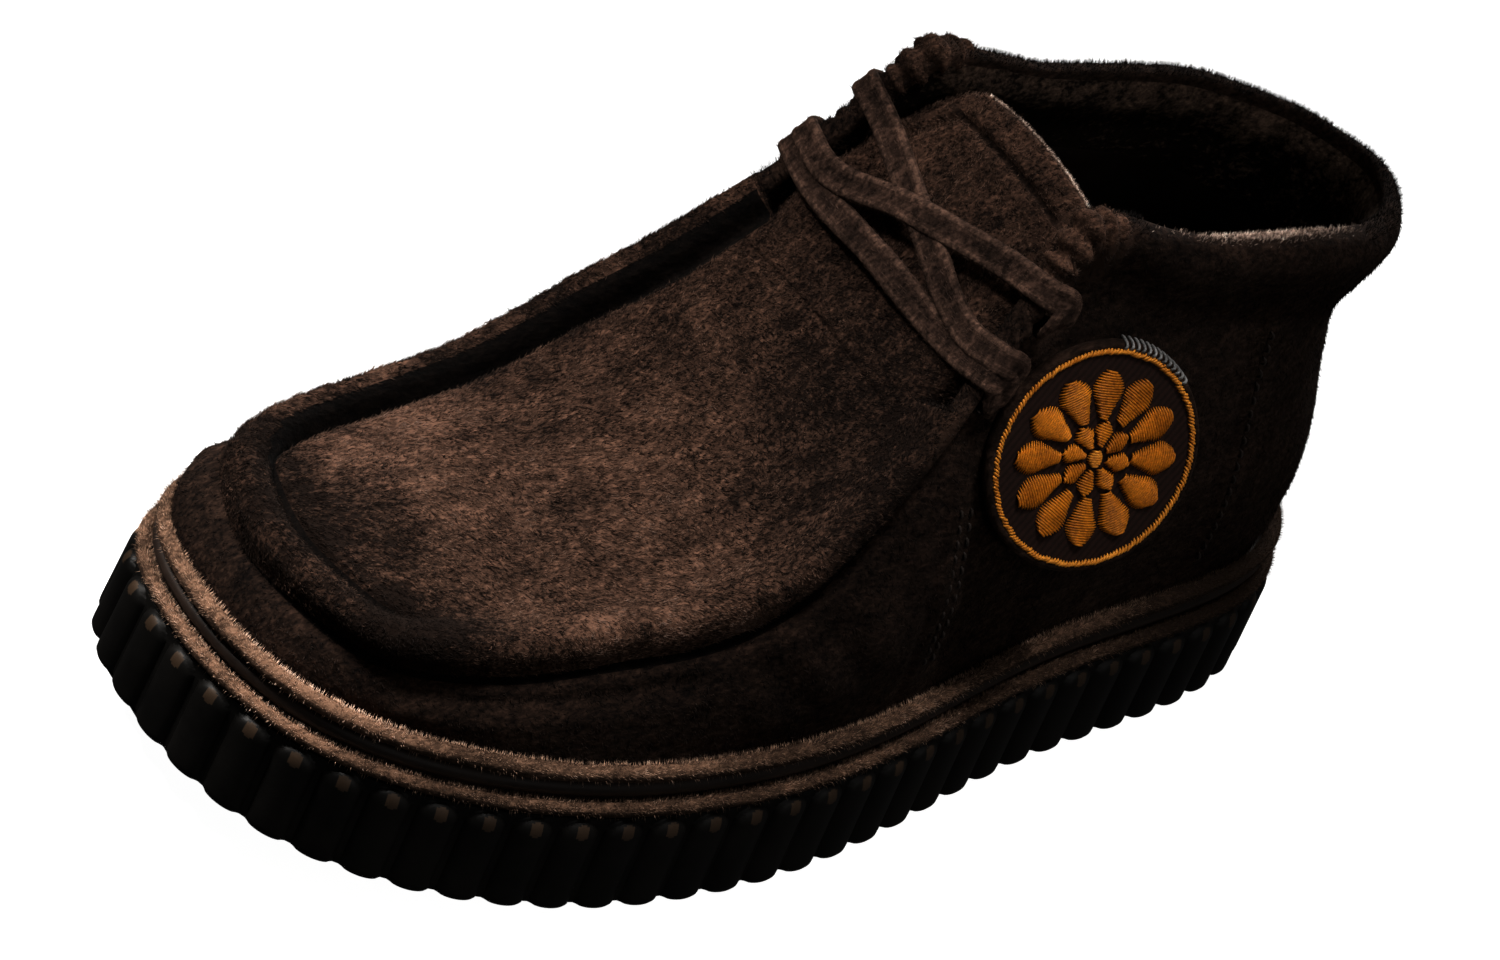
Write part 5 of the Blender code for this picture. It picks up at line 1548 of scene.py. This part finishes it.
PATCH_Z = unit(PATCH_FACING)
PATCH_Y = unit(np.array(CAMERA_UP) - np.dot(CAMERA_UP, PATCH_Z) * PATCH_Z)
PATCH_X = np.cross(PATCH_Y, PATCH_Z)


def on_patch(radius, angle, height):
    """Point on the patch; the angle runs clockwise from its top as the photograph shows it."""
    radius, angle, height = np.broadcast_arrays(np.asarray(radius, float), angle, height)
    side = (radius * np.sin(angle))[..., None] * PATCH_X
    return PATCH_CENTRE + side + (radius * np.cos(angle))[..., None] * PATCH_Y + height[..., None] * PATCH_Z


def lathe(profile, sides):
    angles = 2 * np.pi * np.arange(sides) / sides
    points = np.vstack([on_patch(radius, angles, height) for radius, height in profile])
    return points, ring_faces(len(profile), sides)


def stitches(lines, radius):
    """Round threads along lines, thinner at their ends."""
    parts = []
    for line, facing in lines:
        share = np.linspace(0.0, 1.0, len(line))
        thin = 0.35 + 0.65 * np.sqrt(np.clip(1.0 - (2.0 * share - 1.0) ** 4, 0.0, 1.0))
        parts.append(tube(line, (radius * thin)[:, None], np.tile(facing, (len(line), 1)), sides=6))
    return join(parts)


def satin(reach, axis, cross, wide, base, lift, slant=0.0):
    """One raised thread across a petal."""
    side = np.linspace(-1.0, 1.0, THREAD_POINTS)
    height = base + lift * np.sqrt(np.clip(1.0 - side ** 2, 0.0, 1.0))
    line = PATCH_CENTRE + reach * axis + (wide * side)[:, None] * cross
    return line + height[:, None] * PATCH_Z + (slant * side)[:, None] * axis, PATCH_Z


def ring_stitches(top):
    share = np.linspace(0.0, 1.0, 6)
    height = top + 0.05 + 0.55 * np.sin(np.pi * share) ** 0.7
    for step in range(RING_STITCHES):
        angle = 2 * math.pi * step / RING_STITCHES
        radius = 21.95 + 1.25 * share + 0.22 * NOISE(np.array((step * 1.7, 3.0, 5.0)), 1.0)
        yield on_patch(radius, angle + 0.055 * share, height), PATCH_Z


def rosette_stitches(top):
    for ring, (petals, inner, outer, widest, phase) in enumerate(ROSETTE):
        for petal in range(petals):
            turn = 2 * math.pi * (petal + phase) / petals
            axis = math.sin(turn) * PATCH_X + math.cos(turn) * PATCH_Y
            for reach in np.arange(inner, outer + 0.01, THREAD_SPACING):
                share = (reach - inner) / (outer - inner)
                tip = math.sqrt(max(0.03, 1.0 - max(0.0, share - 0.45) ** 2 / 0.31))
                wide = widest * min(1.0, 0.30 + 1.15 * share) * tip
                jitter = 0.16 * float(NOISE(np.array((reach * 3.1, turn * 9.0, ring)), 1.0))
                yield satin(reach, axis, np.cross(PATCH_Z, axis), wide + jitter, top + 0.10, 0.80, 0.25)


def knot_stitches(top):
    for reach in (-1.5 + 0.5 * step for step in range(7)):
        wide = math.sqrt(max(0.05, KNOT_RADIUS ** 2 - reach ** 2))
        yield satin(reach, PATCH_Y, PATCH_X, wide, top + 0.15, 0.85)


def whip_stitches(half):
    turn = np.linspace(-0.35, 1.15, WHIP_POINTS) * math.pi * 0.8
    radius = PATCH_RADIUS - 0.9 + 1.30 * np.sin(turn * 0.62)
    for step in range(WHIP_STITCHES):
        angle = math.radians(4.0 + 42.0 * step / (WHIP_STITCHES - 1))
        line = on_patch(radius, angle + np.linspace(0.0, 0.035, WHIP_POINTS), half * np.cos(turn) * 1.28)
        yield line, unit(on_patch(1.0, angle, 0.0) - PATCH_CENTRE)


def build_patch():
    half = 0.5 * PATCH_THICK
    top = half - PATCH_SUNK
    edge = ((1.2, -half), (0.4, -half + 0.2), (0.0, -half + 0.9), (0.0, half - 1.1),
            (0.35, half - 0.35), (1.0, half), (1.5, half - 0.1), (1.9, top - 0.3))
    points, faces = lathe([(PATCH_RADIUS - inset, height) for inset, height in edge], PATCH_SIDES)
    points = points + 0.08 * NOISE(points, 3.0)[:, None] * PATCH_Z
    add_piece("lace_patch", points, faces, [PATCH_RIM], "lace_patch", ["lace_patch"], sharp=PATCH_SHARP)
    rings = [(22.85, top - 0.5), (22.8, top - 0.05), (22.4, top)]
    rings += [(radius, top) for radius in range(21, 0, -3)]
    points, faces = lathe(rings, GROUND_SIDES)
    points = points + NOISE.relief(points, ((0.10, 6.0), (0.05, 2.0)))[:, None] * PATCH_Z
    add_piece("patch_ground", points, faces, [PATCH_GROUND], "lace_patch")
    add_piece("patch_ring", *stitches(ring_stitches(top), 0.29), [AMBER], "lace_patch")
    add_piece("patch_rosette", *stitches(rosette_stitches(top), 0.27), [GOLD], "lace_patch")
    add_piece("patch_centre", *stitches(knot_stitches(top), 0.32), [AMBER], "lace_patch")
    add_piece("patch_whip_stitches", *stitches(whip_stitches(half), 0.34), [GREY], "lace_patch")


# stitches beside the upright seams

WALL_SCAN = {side: UPPER.wall(turns, np.tile(SCAN_SHARES, (len(turns), 1)))
             for side, turns in SCAN_TURNS.items()}


def wall_point(x, z, side):
    """Point and outward normal of the outer wall at a place in side view."""
    grid = WALL_SCAN[side]
    gap = (grid[..., 0] - x) ** 2 + (grid[..., 2] - z) ** 2
    column, row = np.unravel_index(np.argmin(gap), gap.shape)
    point = grid[column, row].copy()
    after = grid[min(column + 1, grid.shape[0] - 1), row]
    above = grid[column, min(row + 1, grid.shape[1] - 1)]
    normal = unit(np.cross(after - point, above - point))
    normal = normal * np.sign(normal[1] * side)
    point[0] = x
    point[2] = z
    return point, normal


def seam_lines():
    share = np.linspace(0.0, 1.0, 5)[:, None]
    arch = 0.62 + 0.30 * np.sin(np.pi * share) - 0.75 * (np.abs(2 * share - 1) > 0.9)
    for seam, first_z, last_z, rows in STITCH_ROWS:
        for side, shift in itertools.product((1, -1), rows):
            for z in np.arange(first_z, last_z, STITCH_STEP):
                places = [(seam_x(SEAMS[seam], height) + shift, height) for height in (z, z + STITCH_LENGTH)]
                start, end = (wall_point(*place, side) for place in places)
                yield start[0] + (end[0] - start[0]) * share + start[1] * (arch + 0.35), start[1]


def build_seam_stitches():
    add_piece("seam_stitches", *stitches(seam_lines(), 0.34), [SEAM_THREAD], "upper")


# camera, floor and light

def build_camera():
    data = bpy.data.cameras.new("camera")
    data.lens = CAMERA_LENS
    data.sensor_width = 36.0
    data.clip_start = 0.05
    data.clip_end = 20.0
    item = bpy.data.objects.new("camera", data)
    axes = Matrix((CAMERA_RIGHT, CAMERA_UP, CAMERA_BACK)).transposed().to_4x4()
    item.matrix_world = Matrix.Translation(CAMERA_PLACE) @ axes
    bpy.context.scene.collection.objects.link(item)
    bpy.context.scene.camera = item


def add_light(kind, name, place, target, power, colour):
    data = bpy.data.lights.new(name, kind)
    data.energy = power
    data.color = colour
    item = bpy.data.objects.new(name, data)
    item.location = place
    item.rotation_euler = (Vector(target) - Vector(place)).to_track_quat("-Z", "Y").to_euler()
    bpy.context.scene.collection.objects.link(item)
    return data


def build_lights():
    for name, place, target, radius, half_angle, power, colour in SPOT_LIGHTS:
        data = add_light("SPOT", name, place, target, power, colour)
        data.shadow_soft_size = radius
        data.spot_size = math.radians(2.0 * half_angle)
        data.spot_blend = 1.0
    for name, place, target, size, power, colour in AREA_LIGHTS:
        data = add_light("AREA", name, place, target, power, colour)
        data.shape = "RECTANGLE"
        data.size = size
        data.size_y = size


def build_stage():
    mesh = bpy.data.meshes.new("floor")
    corners = [(FLOOR_HALF * x, FLOOR_HALF * y, 0) for x, y in ((-1, -1), (1, -1), (1, 1), (-1, 1))]
    mesh.from_pydata(corners, [], [(0, 1, 2, 3)])
    nodes = Nodes("floor_paper")
    nodes.paint("Base Color", nodes.noise(2.0), (0.3, 0.24), (0.7, 0.26))
    nodes.set(Roughness=0.9, Specular_IOR_Level=0.1, Emission_Color=(1.0, 1.0, 1.0, 1.0),
              Emission_Strength=0.985)
    mesh.materials.append(nodes.material)
    floor = bpy.data.objects.new("floor", mesh)
    floor.location = (0.0, 0.0, FLOOR_Z)
    floor.visible_diffuse = False
    floor.visible_glossy = False
    bpy.context.scene.collection.objects.link(floor)
    world = bpy.data.worlds.new("studio")
    world.use_nodes = True
    background = world.node_tree.nodes["Background"]
    background.inputs["Color"].default_value = (*SOFT, 1.0)
    background.inputs["Strength"].default_value = 0.05
    bpy.context.scene.world = world
    bpy.context.scene.view_settings.view_transform = "Standard"
    bpy.context.scene.view_settings.gamma = 0.8


build_camera()
build_stage()
build_lights()
build_outsole()
build_plate("midsole", MIDSOLE_SIDE, MIDSOLE)
build_plate("insole", INSOLE_SIDE, SOCK)
build_pipings()
build_upper()
build_corner_rolls()
build_tongue()
build_lace()
build_patch()
build_seam_stitches()
